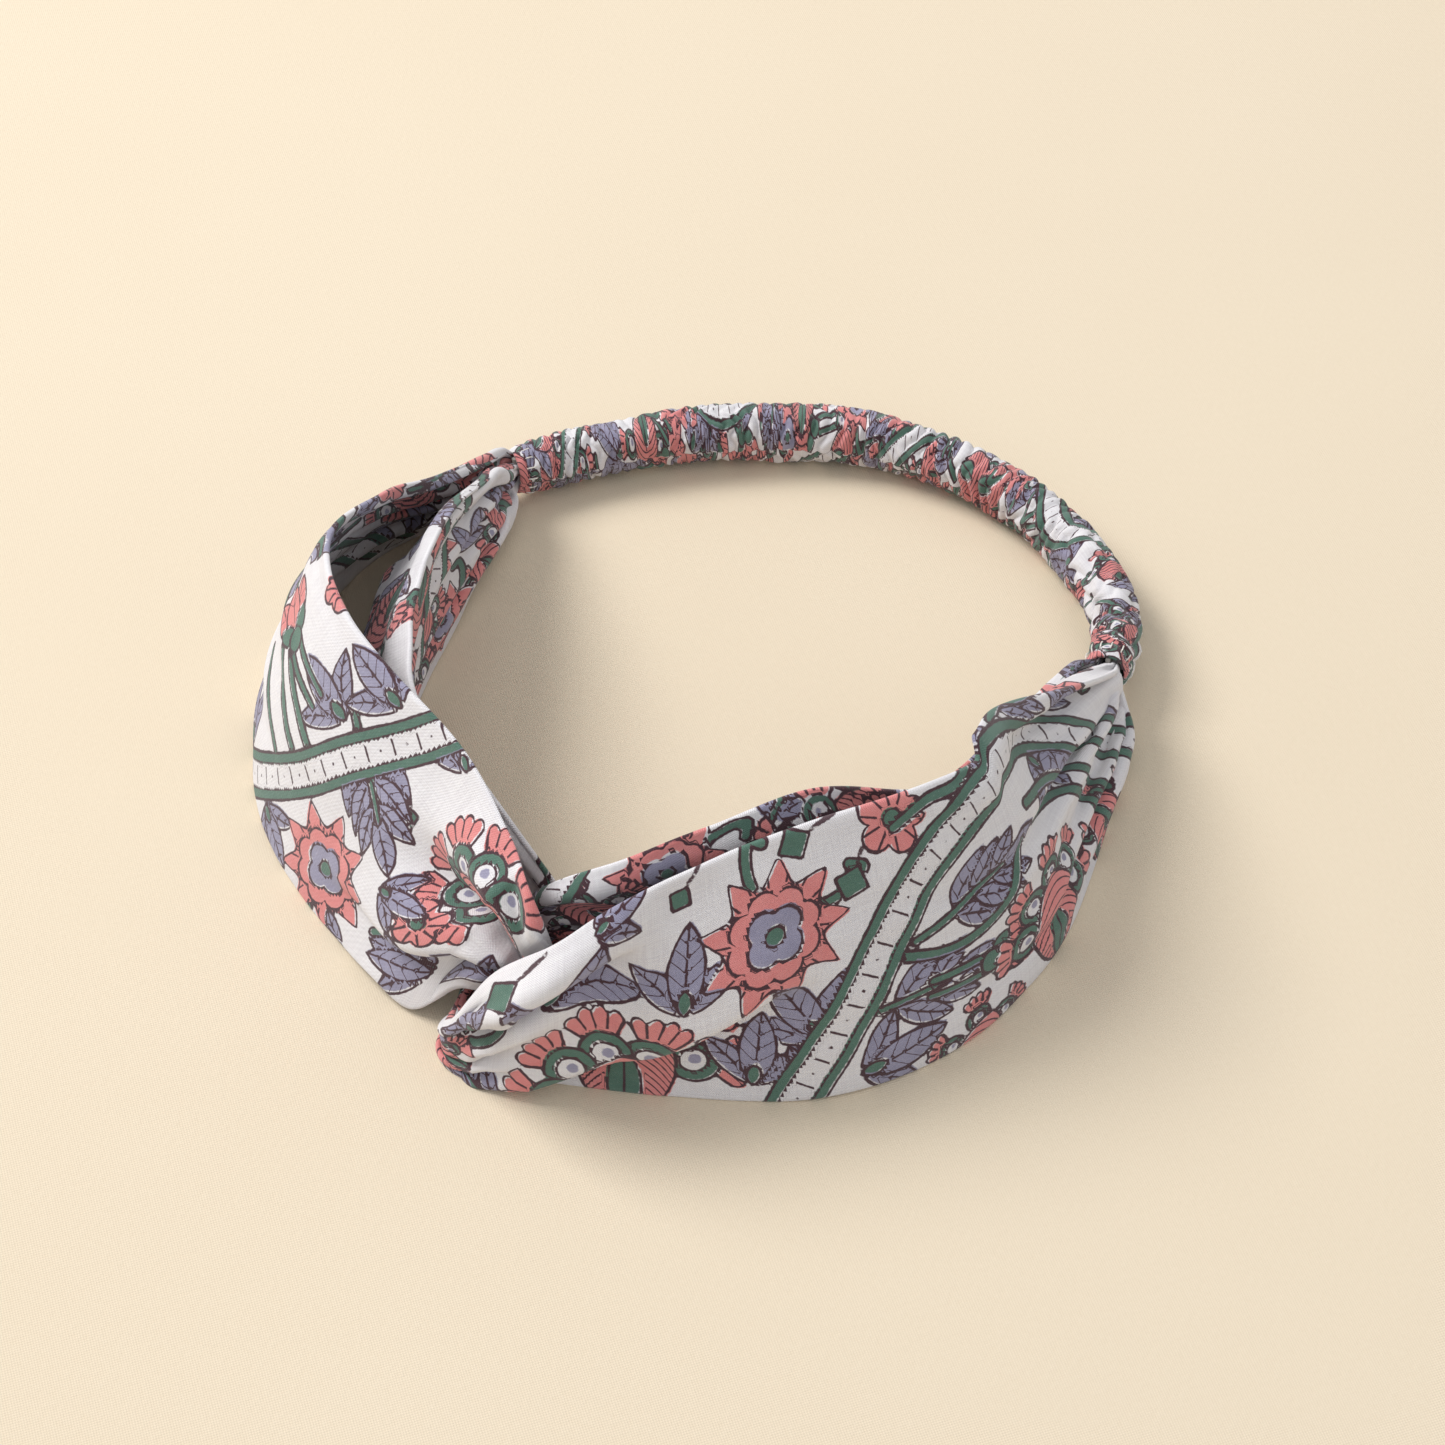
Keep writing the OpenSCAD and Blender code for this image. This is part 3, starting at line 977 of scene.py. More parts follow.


# %% [markdown]
# ### The print of the right band
# On the outer faces the motifs are placed one by one, in the order in which they cover each other:
# the vine goes on last.

# %% Print of the right band


def print_right(cloth):
    """Everything on the right band, from back to front."""
    scatter(cloth, -205, -5, 0, 60, 11)
    scatter(cloth, -205, 195, 64, 114, 12)
    vine(cloth, [[-180, 66], [-150, 48], [-120, 20], [-92, 12], [-66, 30], [-48, 66]])
    vine(cloth, [[20, 120], [40, 92], [80, 84], [120, 96], [140, 120]])
    flame(cloth, (2, 32), 80, 17)
    fan_blossom(cloth, (35, 10), 88, 21, 6)
    flame(cloth, (20, 33), 62, 25)
    flame(cloth, (46, 32), 82, 18)
    spray(cloth, (14, 4), 150, 20, 2)
    fan_blossom(cloth, (-4, 20), 160, 12, 4)
    flame(cloth, (6, 44), 120, 13)
    lozenge(cloth, (12, 54), 30, 3.8)
    flame(cloth, (30, 57), 20, 12)
    lozenge(cloth, (47, 55), 50, 2.6)
    rosette(cloth, (64, 41), 40, 15)
    flame(cloth, (72, 14), 120, 19)
    flame(cloth, (58, 4), 80, 17)
    lone_leaf(cloth, (70, 0), 110, 14)
    lozenge(cloth, (70, 57), 20, 3.6)
    lozenge(cloth, (80, 46), 62, 3.6)
    small_flower(cloth, (90, 56), 0, 7.5)
    spray(cloth, (94, 30), 14, 29, 3)
    spray(cloth, (80, 17), 4, 27, 2)
    flame(cloth, (78, 4), 14, 18)
    tulip(cloth, (106, 16), -8, 12)
    stalk(cloth, [[88, 27], [100, 24], [112, 27], [120, 36]])
    fan_blossom(cloth, (124, 12), 84, 16, 5)
    fan_blossom(cloth, (102, -2), 60, 11, 4)
    flame(cloth, (136, 46), -80, 15)
    flame(cloth, (146, 46), -100, 17)
    fan_blossom(cloth, (152, 8), 60, 13, 4)
    flame(cloth, (164, 30), 40, 13)
    arches(cloth, (122, 62), 215, 11)
    stalk(cloth, [[124, 42], [140, 38], [152, 27], [159, 10]])
    stalk(cloth, [[126, 36], [140, 31], [149, 21], [154, 4]])
    spray(cloth, (130, 59), 8, 20, 2)
    flame(cloth, (150, 54), 20, 15)
    lone_leaf(cloth, (166, 48), 30, 12, "green")
    small_flower(cloth, (160, 64), 0, 6)
    stalk(cloth, [[117, 64], [108, 58], [98, 57], [90, 54]])
    stalk(cloth, [[150, 62], [140, 60], [128, 66]])
    vine(cloth, [[62, -8], [67, 3], [77, 19], [86, 33], [98, 46], [118, 54], [140, 50], [158, 38],
                 [168, 22], [174, 6]])


# %% [markdown]
# ### The print of the left band
# The left lobe has the same motifs, with the vine across its middle and a tulip beyond it.

# %% Print of the left band


def print_left(cloth):
    """Everything on the left band, from back to front."""
    scatter(cloth, -205, -5, 0, 60, 21)
    scatter(cloth, -205, 195, 64, 114, 22)
    vine(cloth, [[-170, 66], [-140, 44], [-110, 16], [-84, 14], [-60, 34], [-40, 66]])
    vine(cloth, [[30, 120], [60, 96], [90, 80], [130, 90], [160, 120]])
    fan_blossom(cloth, (16, 42), 14, 19, 6)
    flame(cloth, (4, 12), 20, 17)
    small_flower(cloth, (26, 24), 0, 6)
    flame(cloth, (20, 10), -10, 16)
    lone_leaf(cloth, (34, 4), 160, 15)
    flame(cloth, (38, 24), 170, 13)
    flame(cloth, (78, 6), 200, 15)
    lozenge(cloth, (44, 40), 40, 2.8)
    rosette(cloth, (54, 12), 200, 15)
    flame(cloth, (40, 0), -20, 12)
    spray(cloth, (66, 46), 214, 31, 3)
    flame(cloth, (40, 58), 20, 13)
    flame(cloth, (68, 44), 2, 18)
    flame(cloth, (60, 56), 4, 17)
    stalk(cloth, [[72, 31], [82, 35], [94, 40]])
    stalk(cloth, [[76, 26], [86, 30], [96, 36]])
    stalk(cloth, [[82, 19], [92, 22], [104, 26]])
    tulip(cloth, (93, 42), 4, 15)
    small_flower(cloth, (90, 62), 0, 6)
    arches(cloth, (108, 50), 10, 14)
    arches(cloth, (124, 34), 20, 13)
    flame(cloth, (122, 62), 30, 15)
    small_flower(cloth, (138, 58), 0, 6.5)
    spray(cloth, (146, 62), -12, 20, 2)
    fan_blossom(cloth, (172, 56), 200, 10, 4)
    flame(cloth, (94, 6), 14, 17)
    spray(cloth, (112, 12), 10, 26, 3)
    rosette(cloth, (142, 36), 0, 13)
    flame(cloth, (150, 10), 30, 17)
    fan_blossom(cloth, (172, 30), 180, 14, 4)
    vine(cloth, [[100, -8], [85, 7], [71, 24], [62, 39], [52, 55], [46, 68]])


# %% [markdown]
# ## Materials
# The cotton is white with four inks, and its threads show as a fine plain weave, with painted
# shade greying a checker of its cells, as in the gaps between threads. The inks are laid from the
# fields on the mesh. Noise moves each ink's edge a little, as a carved wooden block does, and a
# patchy second noise makes the ink thinner in places. The map is in metres, so a noise of scale
# 900 has grains of about a millimetre. The shader's sheen is the soft light that loose fibres catch.

# %% Printed cotton
WEAVE = 0.00042
INKS = {
    "pink": ("E0706F", "F0A09C"),
    "green": ("2C5A4A", "55836F"),
    "lilac": ("7F7C99", "B2AFC8"),
    "dark": ("3A1B24", "4E2A33")
}
OUTLINE_COLOUR = "43222B"
# Painted shade for the gaps between the weave's threads.
WEAVE_GAP_SHADE = "6E666C"


def cotton_material(name, ground, depth):
    """White cotton with the block print on it; depth is the height of its weave."""
    material, tree, shader = new_material(name, Roughness=0.86, Sheen_Weight=0.25, Sheen_Roughness=0.5)
    shader.inputs["Specular IOR Level"].default_value = 0.25
    cloth = node(tree, "ShaderNodeUVMap", {"uv_map": "cloth"})
    along, across = halves(tree, cloth)
    rough_edge = noise(tree, cloth, 900.0, 3.0, 0.6) - 0.5
    wander = noise(tree, cloth, 160.0, 2.0) - 0.5
    worn = noise(tree, cloth, 2400.0, 2.0, 0.7)
    patch = noise(tree, cloth, 260.0, 3.0, 0.6)

    def thick_threads(stretch):
        """Noise drawn out along the threads of one direction."""
        drawn = node(tree, "ShaderNodeMapping", None, {0: cloth, 3: stretch})
        return noise(tree, drawn, 1.0, 1.0) - 0.5

    def field(kind):
        return node(tree, "ShaderNodeAttribute", {"attribute_name": "print_" + kind}, output=2)

    slub = thick_threads((120.0, 3500.0, 1.0)) + thick_threads((3500.0, 120.0, 1.0))
    shift = rough_edge * 0.7 + wander * 0.6
    colour = mix(tree, (slub * 1.6 + 0.5).clamped(), ground[0], ground[1])
    shade = (patch * 0.7 + worn * 0.5 - 0.1).clamped()
    strength = (1.0 - (worn - 0.62).most(0.0) * 1.2) * 0.97
    for kind, (deep, light) in INKS.items():
        cover = (field(kind) + shift).above(0.0, 0.22)
        colour = mix(tree, cover * strength, colour, mix(tree, shade, rgb(deep), rgb(light)))
    line_half = 0.3 + rough_edge * 0.4 + wander * 0.35
    outline = (line_half - abs(field("edge") + wander * 0.4)).above(0.0, 0.16)
    inner = (line_half * 0.8 - abs(field("vein") + wander * 0.3)).above(0.0, 0.16)
    inner = inner * field("edge").above(0.0, 0.2)
    dry = (worn - 0.66).most(0.0) * 3.0
    line = outline.most(inner) * (1.0 - dry)
    colour = mix(tree, line, colour, rgb(OUTLINE_COLOUR))
    threads = along.waves(WEAVE) * across.waves(WEAVE)
    # Painted shade: a checker of the weave's cells is greyed, as in the gaps between threads.
    colour = mix(tree, (threads * 0.5 + 0.5) * 0.22, colour, rgb(WEAVE_GAP_SHADE))
    height = threads * 0.6 + slub * 0.9 + worn * 0.4 + noise(tree, cloth, 150.0, 3.0) * 2.5
    bump = node(tree, "ShaderNodeBump", None, {"Strength": depth, "Distance": 0.00012, "Height": height})
    feed(tree, shader, Base_Color=colour, Normal=bump)
    print(name, "has", len(INKS), "inks and threads", round(WEAVE / MM, 2), "mm apart")
    return material


printed_cotton = cotton_material("printed_cotton", (rgb("E9E5E8"), rgb("F7F5F6")), 0.8)

# %% [markdown]
# ## The two bands
# Each band is made by the same steps: its folded sheet, the changes that its plan asks for, the
# tube of two layers, the mesh, and the print. The print is measured from the knot, where the
# motifs of both bands meet.

# %% Making a band
KNOT_AT = 195.0
AROUND = 2 * CLOTH_WIDTH
EDGE_TURN = 4.0


def make_band(name, stations, outside, plan, artwork, seed):
    """A printed band, and its middle surface for the seams. Its last few millimetres of cloth,
    before the lower edge, take the print from below 0, so that it runs on round the edge."""
    surface = band_surface(stations, outside, plan, seed)
    for change in plan["changes"]:
        change(surface)
    rings, round_v = band_rings(surface, plan["air"], plan["sag"])
    s = surface["s"]
    made = tube_object(name, rings, s, round_v, AROUND)
    print_v = np.where(round_v > AROUND - EDGE_TURN, round_v - AROUND, round_v)
    u, v = np.meshgrid(KNOT_AT - s, print_v, indexing="ij")
    cloth = Print(u.ravel(), v.ravel())
    artwork(cloth)
    cloth.store(made.data)
    made.data.materials.append(printed_cotton)
    print(name, "is", round(s[-1]), "mm long")
    return made, surface


# %% [markdown]
# ### Changes of shape
# Some shapes don't come from the rails and the folds. A change is a function that moves the
# points of a sheet, strongest in one place and fading out around it, like a sculpting brush.

# %% Changes of shape
FOLD_FROM, FOLD_TO = 34, 79
FOLD_RISE, FOLD_LEAN = 4.5, 3.0
END_LENGTH = 11
TABLE_ROOM = 0.9


def raised_fold(surface):
    """The rounded fold that stands up in the top edge, in front of the right join."""
    s, v = surface["s"], surface["v"]
    along = ease((FOLD_TO - s) / 5) * ease((s - FOLD_FROM) / 36)
    upper = (v / CLOTH_WIDTH) ** 4
    lift = along[:, None] * upper[None]
    surface["points"][..., 2] += FOLD_RISE * lift
    surface["points"] -= surface["out"][:, None] * (FOLD_LEAN * lift)[..., None]


def packed_ends(surface):
    """Presses the gathered ends together, so that they fit in the casing beside the elastic."""
    s, points = surface["s"], surface["points"]
    inside = ease((END_LENGTH - np.minimum(s, s[-1] - s)) / 4)[:, None]
    middle = points[..., 2].mean(1, keepdims=True)
    points[..., 2] += (middle - points[..., 2]) * 0.3 * inside
    for side in (-1, 1):
        near = (np.sign(points[:, :1, 0]) == side) * inside
        off = ((points - mouth(side)) * outwards(side)).sum(-1)
        points -= (near * 0.12 * off)[..., None] * outwards(side)


def leaning(middle, reach, amount, from_v):
    """Moves the upper edge outwards near one place, so that the two bands pass each other."""
    def change(surface):
        near = np.exp(-(((surface["s"] - middle) / reach) ** 2))
        high = ease((surface["v"] - from_v) / (CLOTH_WIDTH - from_v))
        surface["points"] += surface["out"][:, None] * (amount * near[:, None] * high[None])[..., None]
    return change


def drooping_edge(surface):
    """Lets the lower edge of the left band hang towards the table beside the knot."""
    s, v = surface["s"], surface["v"]
    near = np.exp(-(((s - 174) / 8) ** 2))
    low = np.clip(1 - v / 30, 0, 1) ** 1.5
    spare = np.clip(surface["points"][:, 0, 2] - TABLE_ROOM, 0, 12)
    drop = (near * spare)[:, None] * low[None]
    surface["points"][..., 2] -= drop
    surface["points"][..., 1] -= 0.2 * drop


# %% [markdown]
# ### Plans of the bands
# A plan holds what differs from place to place along one band. Each of its lists goes from the
# end of the outer leg, over the knot at 195 mm, to the end of the inner leg. Only the reach at
# the ends is measured from the nearer end. The listed folds give this headband its look:
# the roll of cloth that goes over the knot and the long crease under it. The gathers make the
# pleats that run from each lobe into the casing. What both bands share is named first.

# %% Plans of the bands
AIR = [(0, 0.7), (30, 1.0), (60, 1.4), (120, 1.4), (160, 1.0), (200, 0.8), (240, 1.2), (330, 1.2),
       (410, 0.7)]
END_REACH = [(0, 0.8), (11, 0.8), (28, 12), (200, 12)]
right_plan = {
    "folds": [
        {"kind": "step", "width": 2.1, "s": [122, 133, 145, 161, 178, 190, 205],
         "v": [29, 27, 23, 17, 8, 5, 5], "swing": [0, 1.4, 2.4, 2.7, 2.7, 1.9, 0]},
        {"kind": "step", "width": 1.8, "s": [155, 165, 175, 185, 195, 205],
         "v": [48, 46, 41, 35, 32, 31], "swing": [0, 1.7, 2.3, 2.4, 2.2, 0]},
        {"kind": "ridge", "width": 4.0, "s": [150, 165, 180, 192, 205],
         "v": [55, 54, 51, 48, 46], "swing": [0, 0.8, 1.3, 1.3, 0]},
        {"kind": "ridge", "width": 3.5, "s": [168, 180, 192, 205],
         "v": [34, 29, 25, 24], "swing": [0, 1.1, 1.2, 0]}
    ],
    "gathered": [(0, 1.0), (30, 1.0), (50, 0.9), (85, 0.35), (130, 0.2), (160, 0.35), (180, 0.7),
                 (200, 1.0), (215, 0.9), (240, 0.5), (330, 0.35), (375, 0.9), (410, 1.0)],
    "bulge": [(0, 0), (25, 0), (60, 3), (120, 3), (160, 1.5), (180, 1.0), (195, 0), (410, 0)],
    "air": AIR,
    "sag": [(0, 0), (240, 0), (280, 1.5), (330, 1.5), (380, 0), (410, 0)],
    "reach": END_REACH,
    "knot_reach": [(0, 12), (182, 12), (193, 3.5), (209, 3.5), (222, 12), (410, 12)],
    "changes": [raised_fold, leaning(235, 9, 2.5, 35), leaning(174, 7, 1.3, 22), packed_ends]
}
left_plan = {
    "folds": [
        {"kind": "ridge", "width": 4.5, "s": [150, 165, 178, 188, 200],
         "v": [37, 36, 35, 35, 34], "swing": [0, -0.9, -1.5, -1.6, 0]},
        {"kind": "step", "width": 1.7, "s": [140, 153, 167, 180, 190, 205],
         "v": [12, 14, 14, 17, 20, 20], "swing": [0, 0.9, 1.6, 1.9, 1.6, 0]},
        {"kind": "ridge", "width": 3.0, "s": [160, 175, 190, 205],
         "v": [52, 51, 50, 50], "swing": [0, 0.7, 0.9, 0]}
    ],
    "gathered": [(0, 1.0), (22, 1.0), (45, 0.6), (75, 0.25), (130, 0.2), (155, 0.4), (175, 0.9),
                 (200, 1.0), (220, 0.9), (245, 0.5), (330, 0.35), (370, 0.9), (410, 1.0)],
    "bulge": [(0, 0), (25, 0), (60, 3), (120, 3), (160, 1.5), (180, 0), (410, 0)],
    "air": AIR,
    "sag": [(0, 0), (250, 0), (285, 9), (335, 9), (366, 0), (410, 0)],
    "reach": END_REACH,
    "knot_reach": [(0, 12), (178, 12), (190, 1.9), (214, 1.9), (226, 12), (410, 12)],
    "changes": [drooping_edge, leaning(184, 8, 2.3, 38), packed_ends]
}
print("folds by hand:", len(right_plan["folds"]), "right,", len(left_plan["folds"]), "left")

# %% [markdown]
# ### Both bands
# Each band rides on its own half of the headband and takes the place of its plain CAD solid. A
# band is a sheet of cloth.

# %% Both bands
right_band, right_surface = make_band("right_band_cloth", right_stations, -1, right_plan,
                                      print_right, 31)
left_band, left_surface = make_band("left_band_cloth", left_stations, 1, left_plan,
                                    print_left, 32)


def stands_for(piece, body, slot, *nodes):
    """The piece rides on a body, in place of these CAD nodes."""
    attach(piece, body)
    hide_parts(*nodes)


stands_for(right_band, "right_half", "printed_cotton", "right_band")
stands_for(left_band, "left_half", "printed_cotton", "left_band")

# %% [markdown]
# ## The ruched casing
# The casing is a second tube of the same cloth. It is cut about twice as long as the way it
# covers, and the elastic inside pushes it up into tight ruffles. It is made of closed rings round
# a smooth axis, and every point of a ring is moved in or out by the ruffles. First come the axis
# and the two directions across it.

# %% Axis of the casing
CASING_RING_GAP = 0.36
CASING_POINTS = 84
axis = smooth_line(CASING, CURVE_STEPS)
axis_at = lengths_along(axis)
s = np.arange(0, axis_at[-1], CASING_RING_GAP)
axis = at_lengths(axis, axis_at, s)
axis_way = directions(axis)
axis_out = unit(np.cross(axis_way, [0, 0, 1]))
axis_up = np.cross(axis_out, axis_way)
turn = np.linspace(0, math.tau, CASING_POINTS, endpoint=False)
wide = np.stack([np.cos(turn), np.sin(turn)])
print("casing has", len(s), "rings of", CASING_POINTS, "points")

# %% [markdown]
# ### The ruffles
# Sharp valleys and round ridges come from the absolute value of a sine. Noise bends the ridges,
# makes some higher than others and puffs the tube up in places. Near the right mouth the casing
# is pulled by the join, so its ruffles are longer there and wind round it.

# %% Ruffles
RUFFLE = 3.1
LOOSE_RUFFLE = 1.9 * RUFFLE
RUFFLE_HEIGHT = 1.35
TWISTED_FROM, TWISTED_OVER = 55, 30
MOUTH_TAPER, LIP_TAPER = 0.12, 0.06


def ring_noise(x, seed, rate=1.6):
    """Noise along the casing that closes up smoothly round it."""
    return (soft_noise(x + rate * wide[0][None], rate * wide[1][None] + 7, seed)
            + soft_noise(x - 30 + rate * wide[1][None], rate * wide[0][None] + 19, seed + 1)) / 1.4


to_right = s[-1] - s
twisted = ease((TWISTED_FROM - to_right) / TWISTED_OVER)[:, None]
wander = ring_noise(s[:, None] / 11, 41) * 0.75 + ring_noise(s[:, None] / 4, 43) * 0.22
tight = s[:, None] / RUFFLE + wander
loose = s[:, None] / LOOSE_RUFFLE + wander * 1.2 + 2 * turn[None] / math.tau
height_share = 0.75 + 0.45 * ring_noise(s[:, None] / 9, 45)
ridge = (np.abs(np.sin(np.pi * tight)) ** 0.7 - 0.6) * (1 - twisted)
ridge = ridge + (np.abs(np.sin(np.pi * loose)) ** 0.8 - 0.6) * 1.25 * twisted
fine = ring_noise(s[:, None] / 1.6, 47, 3.0) * 0.18
puff = ring_noise(s[:, None] / 14, 49) * 0.5
mouth_gap = np.minimum(s, to_right)
narrow = 1 - MOUTH_TAPER * np.exp(-mouth_gap / 6) - LIP_TAPER * np.exp(-mouth_gap / 1.2)
radial = RUFFLE_HEIGHT * height_share * ridge + fine + puff
radial = radial * (1 - 0.7 * np.exp(-mouth_gap / 4))[:, None]
print("ruffles stand from", round(radial.min(), 1), "to", round(radial.max(), 1), "mm")

# %% [markdown]
# ### The casing's cloth
# The wall has an outer and an inner skin, and the rings run out along one and back along the
# other, so the mouths are open and have a hem. The print follows the cloth's own length along
# the ruffles. The real one has even finer creases that hold more cloth, so the print is squeezed
# by a further factor.

# %% Cloth of the casing
CASING_HALF = (5.3, 6.3)
WALL = 0.5
CASING_AROUND = 38
PRINT_SQUEEZE = 2.4


def casing_wall(inset):
    """Points of the casing's skin, so far inside its outer face."""
    half_w = CASING_HALF[0] * narrow[:, None] + radial - inset
    half_h = CASING_HALF[1] * narrow[:, None] + radial - inset
    return (axis[:, None] + (half_w * wide[0][None])[..., None] * axis_out[:, None]
            + (half_h * wide[1][None])[..., None] * axis_up[:, None])


outer, inner = casing_wall(0), casing_wall(WALL)
step = np.linalg.norm(np.diff(outer, axis=0), axis=2).mean(1)
cloth_s = np.concatenate([[0], np.cumsum(step)])
around = turn / math.tau * CASING_AROUND
rings = np.concatenate([outer, inner[::-1]])
ring_s = np.concatenate([cloth_s, cloth_s[::-1]])
casing = tube_object("ruched_casing", rings, ring_s, around, CASING_AROUND, endless=True)
u, v = np.meshgrid(ring_s * PRINT_SQUEEZE, around, indexing="ij")
cloth = Print(u.ravel(), v.ravel())
scatter(cloth, 0, cloth_s[-1] * PRINT_SQUEEZE + 20, -6, 44, 51, 16)
vine(cloth, [[20, -10], [50, 20], [90, 30], [130, 10], [170, 24], [210, 40]])
vine(cloth, [[230, -8], [270, 14], [320, 24], [380, 6], [420, 30], [470, 20], [520, 34]])
cloth.store(casing.data)
casing.data.materials.append(printed_cotton)
print("casing:", round(s[-1]), "mm long,", round(cloth_s[-1]), "mm of cloth along its ruffles")

# %% [markdown]
# ### The casing between the halves
# A piece that reaches from one half to the other has no single body. The casing is stretchy, but
# here it stays where it was made, with its transform baked in.


def stretches(piece, slot, *nodes):
    """The piece stays where it was made, with its transform baked in, in place of these CAD nodes."""
    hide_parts(*nodes)
    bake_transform(piece)


stretches(casing, "ruched_cotton", "back_casing")

# %% [markdown]
# ## The elastic
# A flat knitted strip runs through the casing and holds it taut. Its ribs are rounded ridges
# along its length, with a fine knit across them.

# %% Elastic
ELASTIC_HALF_H = 4.0
ELASTIC_HALF_T = 0.55
RIBS = 6
elastic_axis_s = np.arange(0, axis_at[-1], 1.0)
elastic_axis = at_lengths(axis, s, elastic_axis_s)
elastic_way = directions(elastic_axis)
elastic_out = unit(np.cross(elastic_way, [0, 0, 1]))
height_steps = np.linspace(-1, 1, 6 * RIBS + 1)
rib = ELASTIC_HALF_T * (0.72 + 0.28 * np.abs(np.sin(np.pi * RIBS * (height_steps + 1) / 2)))
side_a = np.stack([rib, height_steps * ELASTIC_HALF_H], 1)
side_b = np.stack([-rib[::-1], height_steps[::-1] * ELASTIC_HALF_H], 1)
profile = np.concatenate([side_a, side_b])
rings = (elastic_axis[:, None] + profile[None, :, :1] * elastic_out[:, None]
         + profile[None, :, 1:] * np.array([0, 0, 1.0]))
profile_at = np.concatenate([[0], np.cumsum(np.linalg.norm(np.diff(profile, axis=0), axis=1))])
elastic = tube_object("elastic_strip", rings, elastic_axis_s, profile_at, profile_at[-1] + 0.8)
stretches(elastic, "elastic", "elastic")

# %% [markdown]
# ### The elastic's finish
# The knit is small: crossed waves of 0.6 mm and 0.9 mm raise its loops, and fine noise is the
# fuzz of its yarn.

# %% Knitted elastic
KNIT = 0.0006
elastic_material, tree, shader = new_material("knitted_elastic", Roughness=0.7, Sheen_Weight=0.15)
cloth_map = node(tree, "ShaderNodeUVMap", {"uv_map": "cloth"})
along, across = halves(tree, cloth_map)
knit = along.waves(KNIT) * across.waves(1.5 * KNIT)
fuzz = noise(tree, cloth_map, 1800.0, 3.0)
elastic_colour = mix(tree, fuzz, rgb("D9D4C6"), rgb("F0EDE4"))
bump = node(tree, "ShaderNodeBump", None, {"Strength": 0.6, "Distance": 0.0002, "Height": knit + fuzz})
feed(tree, shader, Base_Color=elastic_colour, Normal=bump)
elastic.data.materials.append(elastic_material)
print("elastic is", 2 * ELASTIC_HALF_H, "mm wide, with", RIBS, "ribs")

# %% [markdown]
# ## Seams and stitches
# All seams are sewn with white spun cotton. It has a twist, which the material shows as slanted
# stripes, from the thread's own length and the way round it. The stripes are bumps, and their
# colour is painted shade: darker in the grooves between the plies, lighter on their tops.

# %% Sewing thread
TWIST = 0.0009
SLANT = 6000.0
thread_material, tree, shader = new_material("white_thread", Roughness=0.6, Sheen_Weight=0.2)
cloth_map = node(tree, "ShaderNodeUVMap", {"uv_map": "cloth"})
along, across = halves(tree, cloth_map)
ply = (along * (math.tau / TWIST) + across * SLANT).math("SINE")
fuzz = noise(tree, cloth_map, 5000.0, 2.0)
# Painted shade: the twist's grooves are darker and the plies' tops lighter.
ply_shaded_thread_colour = mix(tree, ply * 0.4 + 0.5, rgb("D6D1C8"), rgb("F6F3EC"))
bump = node(tree, "ShaderNodeBump", None, {"Strength": 0.7, "Distance": 0.0001, "Height": ply + fuzz})
feed(tree, shader, Base_Color=ply_shaded_thread_colour, Normal=bump)
print("thread has a turn every", round(TWIST / MM, 2), "mm")

# %% [markdown]
# ### Threads along lines
# A thread is a thin tube swept along a line. A curve with a bevel would do as well. The rings are
# made in code here so that the threads get the same map in metres as the cloth.

# %% Threads along lines
THREAD_RADIUS = 0.16
THREAD_SIDES = 6


def thread_rings(line):
    """Rings of a thin tube along a line of points, with small ends."""
    way = directions(line)
    side = unit(np.cross(way, [0.02, 0.03, 1.0]))
    up = np.cross(side, way)
    angle = np.linspace(0, math.tau, THREAD_SIDES, endpoint=False)
    ends = np.minimum(1, np.minimum(np.arange(len(line)), np.arange(len(line))[::-1]) + 0.3)
    circle = np.cos(angle)[None, :, None] * side[:, None] + np.sin(angle)[None, :, None] * up[:, None]
    return line[:, None] + THREAD_RADIUS * ends[:, None, None] * circle


def thread_object(name, lines):
    """One object of separate threads, each along its own line."""
    parts = []
    for k, line in enumerate(lines):
        rings = thread_rings(np.asarray(line, float))
        around_thread = np.arange(THREAD_SIDES) / THREAD_SIDES
        parts.append(tube_object(f"{name}_{k}", rings, lengths_along(line), around_thread, 1.0))
    bpy.ops.object.select_all(action="DESELECT")
    for part in parts:
        part.select_set(True)
    bpy.context.view_layer.objects.active = parts[0]
    if len(parts) > 1:
        bpy.ops.object.join()
    made = bpy.context.view_layer.objects.active
    made.name = name
    made.data.materials.append(thread_material)
    return made


# %% [markdown]
# ### Long seams
# Each band was sewn into a tube by one long seam, a little above its lower edge. The line of the
# stitches weaves to and fro through the cloth.

# %% Long seams of the bands
SEAM_UP = 4.0
STITCH = 2.5


def band_seam(name, surface):
    """Running stitch along a band, a little above its lower edge and between its layers."""
    column = int(np.abs(surface["v"] - SEAM_UP).argmin())
    line = surface["points"][:, column]
    normal = surface_normals(surface)[:, column]
    weave = 0.14 * np.sin(math.tau * surface["s"] / STITCH)
    return thread_object(name, [line + weave[:, None] * normal])


right_seam = band_seam("right_band_stitching", right_surface)
left_seam = band_seam("left_band_stitching", left_surface)
stands_for(right_seam, "right_half", "thread", "right_band_seam")
stands_for(left_seam, "left_half", "thread", "left_band_seam")

# %% [markdown]
# ### The casing's seam
# The casing's seam lies on the side that faces the head. It follows every ruffle, because it was
# sewn before the elastic was drawn in.

# %% Seam of the casing
SEAM_MARGIN = 6
head_side = CASING_POINTS // 2
seam_line = (outer[:, head_side] + inner[:, head_side]) / 2
seam_weave = 0.3 * np.sin(math.tau * cloth_s / STITCH)
seam_line = seam_line - seam_weave[:, None] * axis_out
casing_stitching = thread_object("casing_stitching", [seam_line[SEAM_MARGIN:-SEAM_MARGIN]])
stretches(casing_stitching, "thread", "casing_seam")

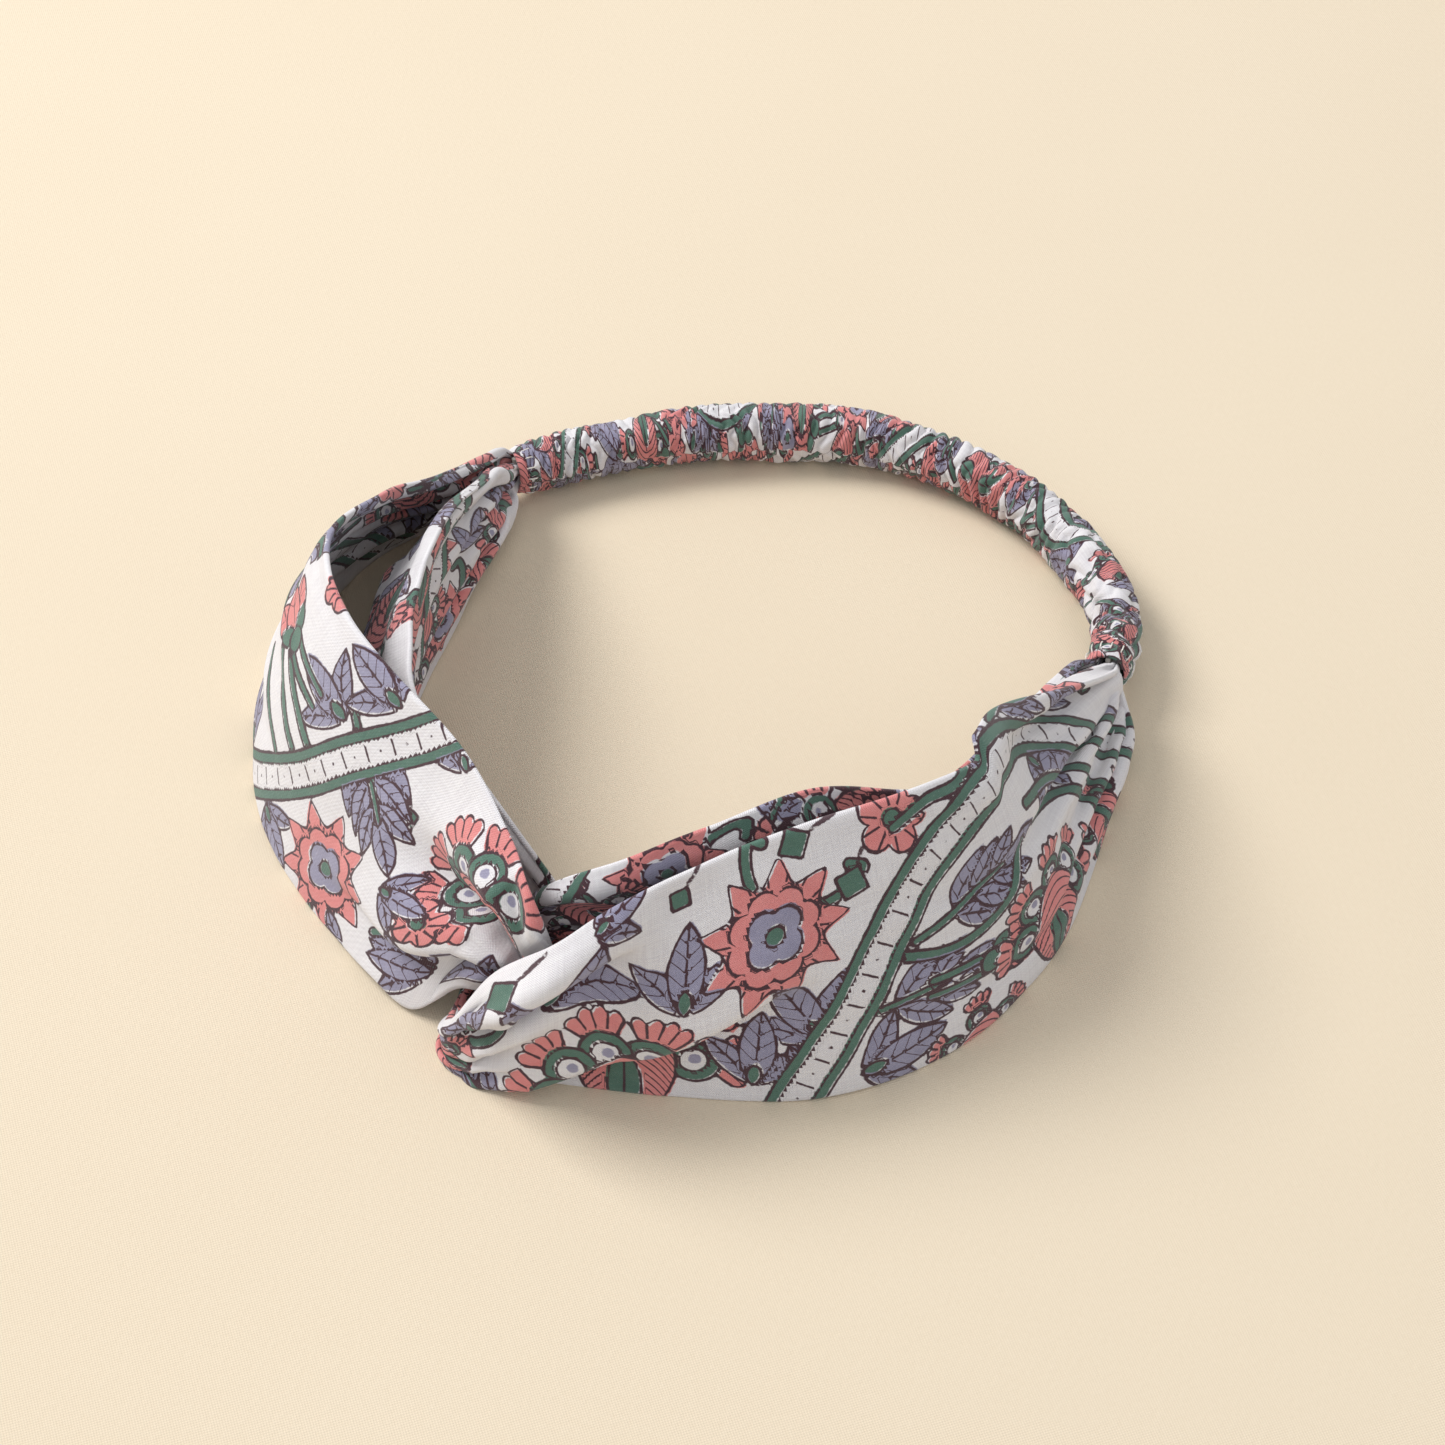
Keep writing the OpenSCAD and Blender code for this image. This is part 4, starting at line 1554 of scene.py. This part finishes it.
# %% [markdown]
# ### Stitches at the joins
# Three kinds of stitches hold a join: a gathering thread through each leg of the band, a dense
# zigzag over the end of the elastic, called a bartack, and a ring of stitches that closes the
# casing's mouth over both. One function makes each kind, for the left and for the right.

# %% Stitches at the joins
MOUTH_STITCHES = 14
MOUTH_ROWS = (1.5, 4.0)
SUNK = 0.25
BARTACK_STITCHES = 5
GATHERING_DEPTHS = (2, 5)
STITCH_POINTS = 7


def arched(start, end, lift):
    """A stitch from start to end that rises in its middle."""
    t = np.linspace(0, 1, STITCH_POINTS)[:, None]
    return start + (end - start) * t + lift * 4 * t * (1 - t)


def mouth_stitches(side):
    """Stitches on the casing's skin, round one mouth."""
    lines = []
    rows = [round(depth / CASING_RING_GAP) for depth in MOUTH_ROWS]
    near, far = (rows if side < 0 else [-r - 1 for r in rows])
    for k in range(MOUTH_STITCHES):
        column = int((k + 0.5) * CASING_POINTS / MOUTH_STITCHES)
        start, end = outer[near, column], outer[far, column]
        away = unit(start - axis[near])
        lines.append(arched(start - SUNK * away, end - SUNK * away, 2 * SUNK * away))
    return lines


def bartack(side):
    """Close zigzag across the end of the elastic."""
    half = np.array([0, 0, ELASTIC_HALF_H - 1])
    face = mouth(side) + outwards(side) * (ELASTIC_HALF_T + 0.1)
    way = inwards(side)
    return [arched(face + (2 + k) * way - half, face + (2.5 + k) * way + half, 0.1 * outwards(side))
            for k in range(BARTACK_STITCHES)]


def gathering_stitches(side):
    """Two stitches through each gathered leg, inside the mouth."""
    half = np.array([0, 0, END_HEIGHT / 2 - 0.8])
    lines = []
    for out in (-1, 1):
        for depth in GATHERING_DEPTHS:
            p = mouth(side) + depth * inwards(side) + out * LEG_OFFSET * outwards(side)
            lines.append(arched(p - half, p + half, 0.15 * outwards(side)))
    return lines


left_mouth_stitching = thread_object("left_mouth_stitching", mouth_stitches(-1))
right_mouth_stitching = thread_object("right_mouth_stitching", mouth_stitches(1))
left_tack = thread_object("left_elastic_bartack", bartack(-1))
right_tack = thread_object("right_elastic_bartack", bartack(1))
left_gathering = thread_object("left_gathering_stitches", gathering_stitches(-1))
right_gathering = thread_object("right_gathering_stitches", gathering_stitches(1))

# %% [markdown]
# ### Bodies of the stitches
# The left join belongs to the left half. At the right join, the stitches in the casing and in
# the elastic stay where they were made, as those two do, and only the gathering thread rides on the
# right half.

# %% Bodies of the stitches
stands_for(left_mouth_stitching, "left_half", "thread", "left_join_stitching")
stands_for(left_tack, "left_half", "thread", "left_bartack")
stands_for(left_gathering, "left_half", "thread", "left_gathering_thread")
stands_for(right_gathering, "right_half", "thread", "right_gathering_thread")
stretches(right_mouth_stitching, "thread", "right_join_stitching")
stretches(right_tack, "thread", "right_bartack")
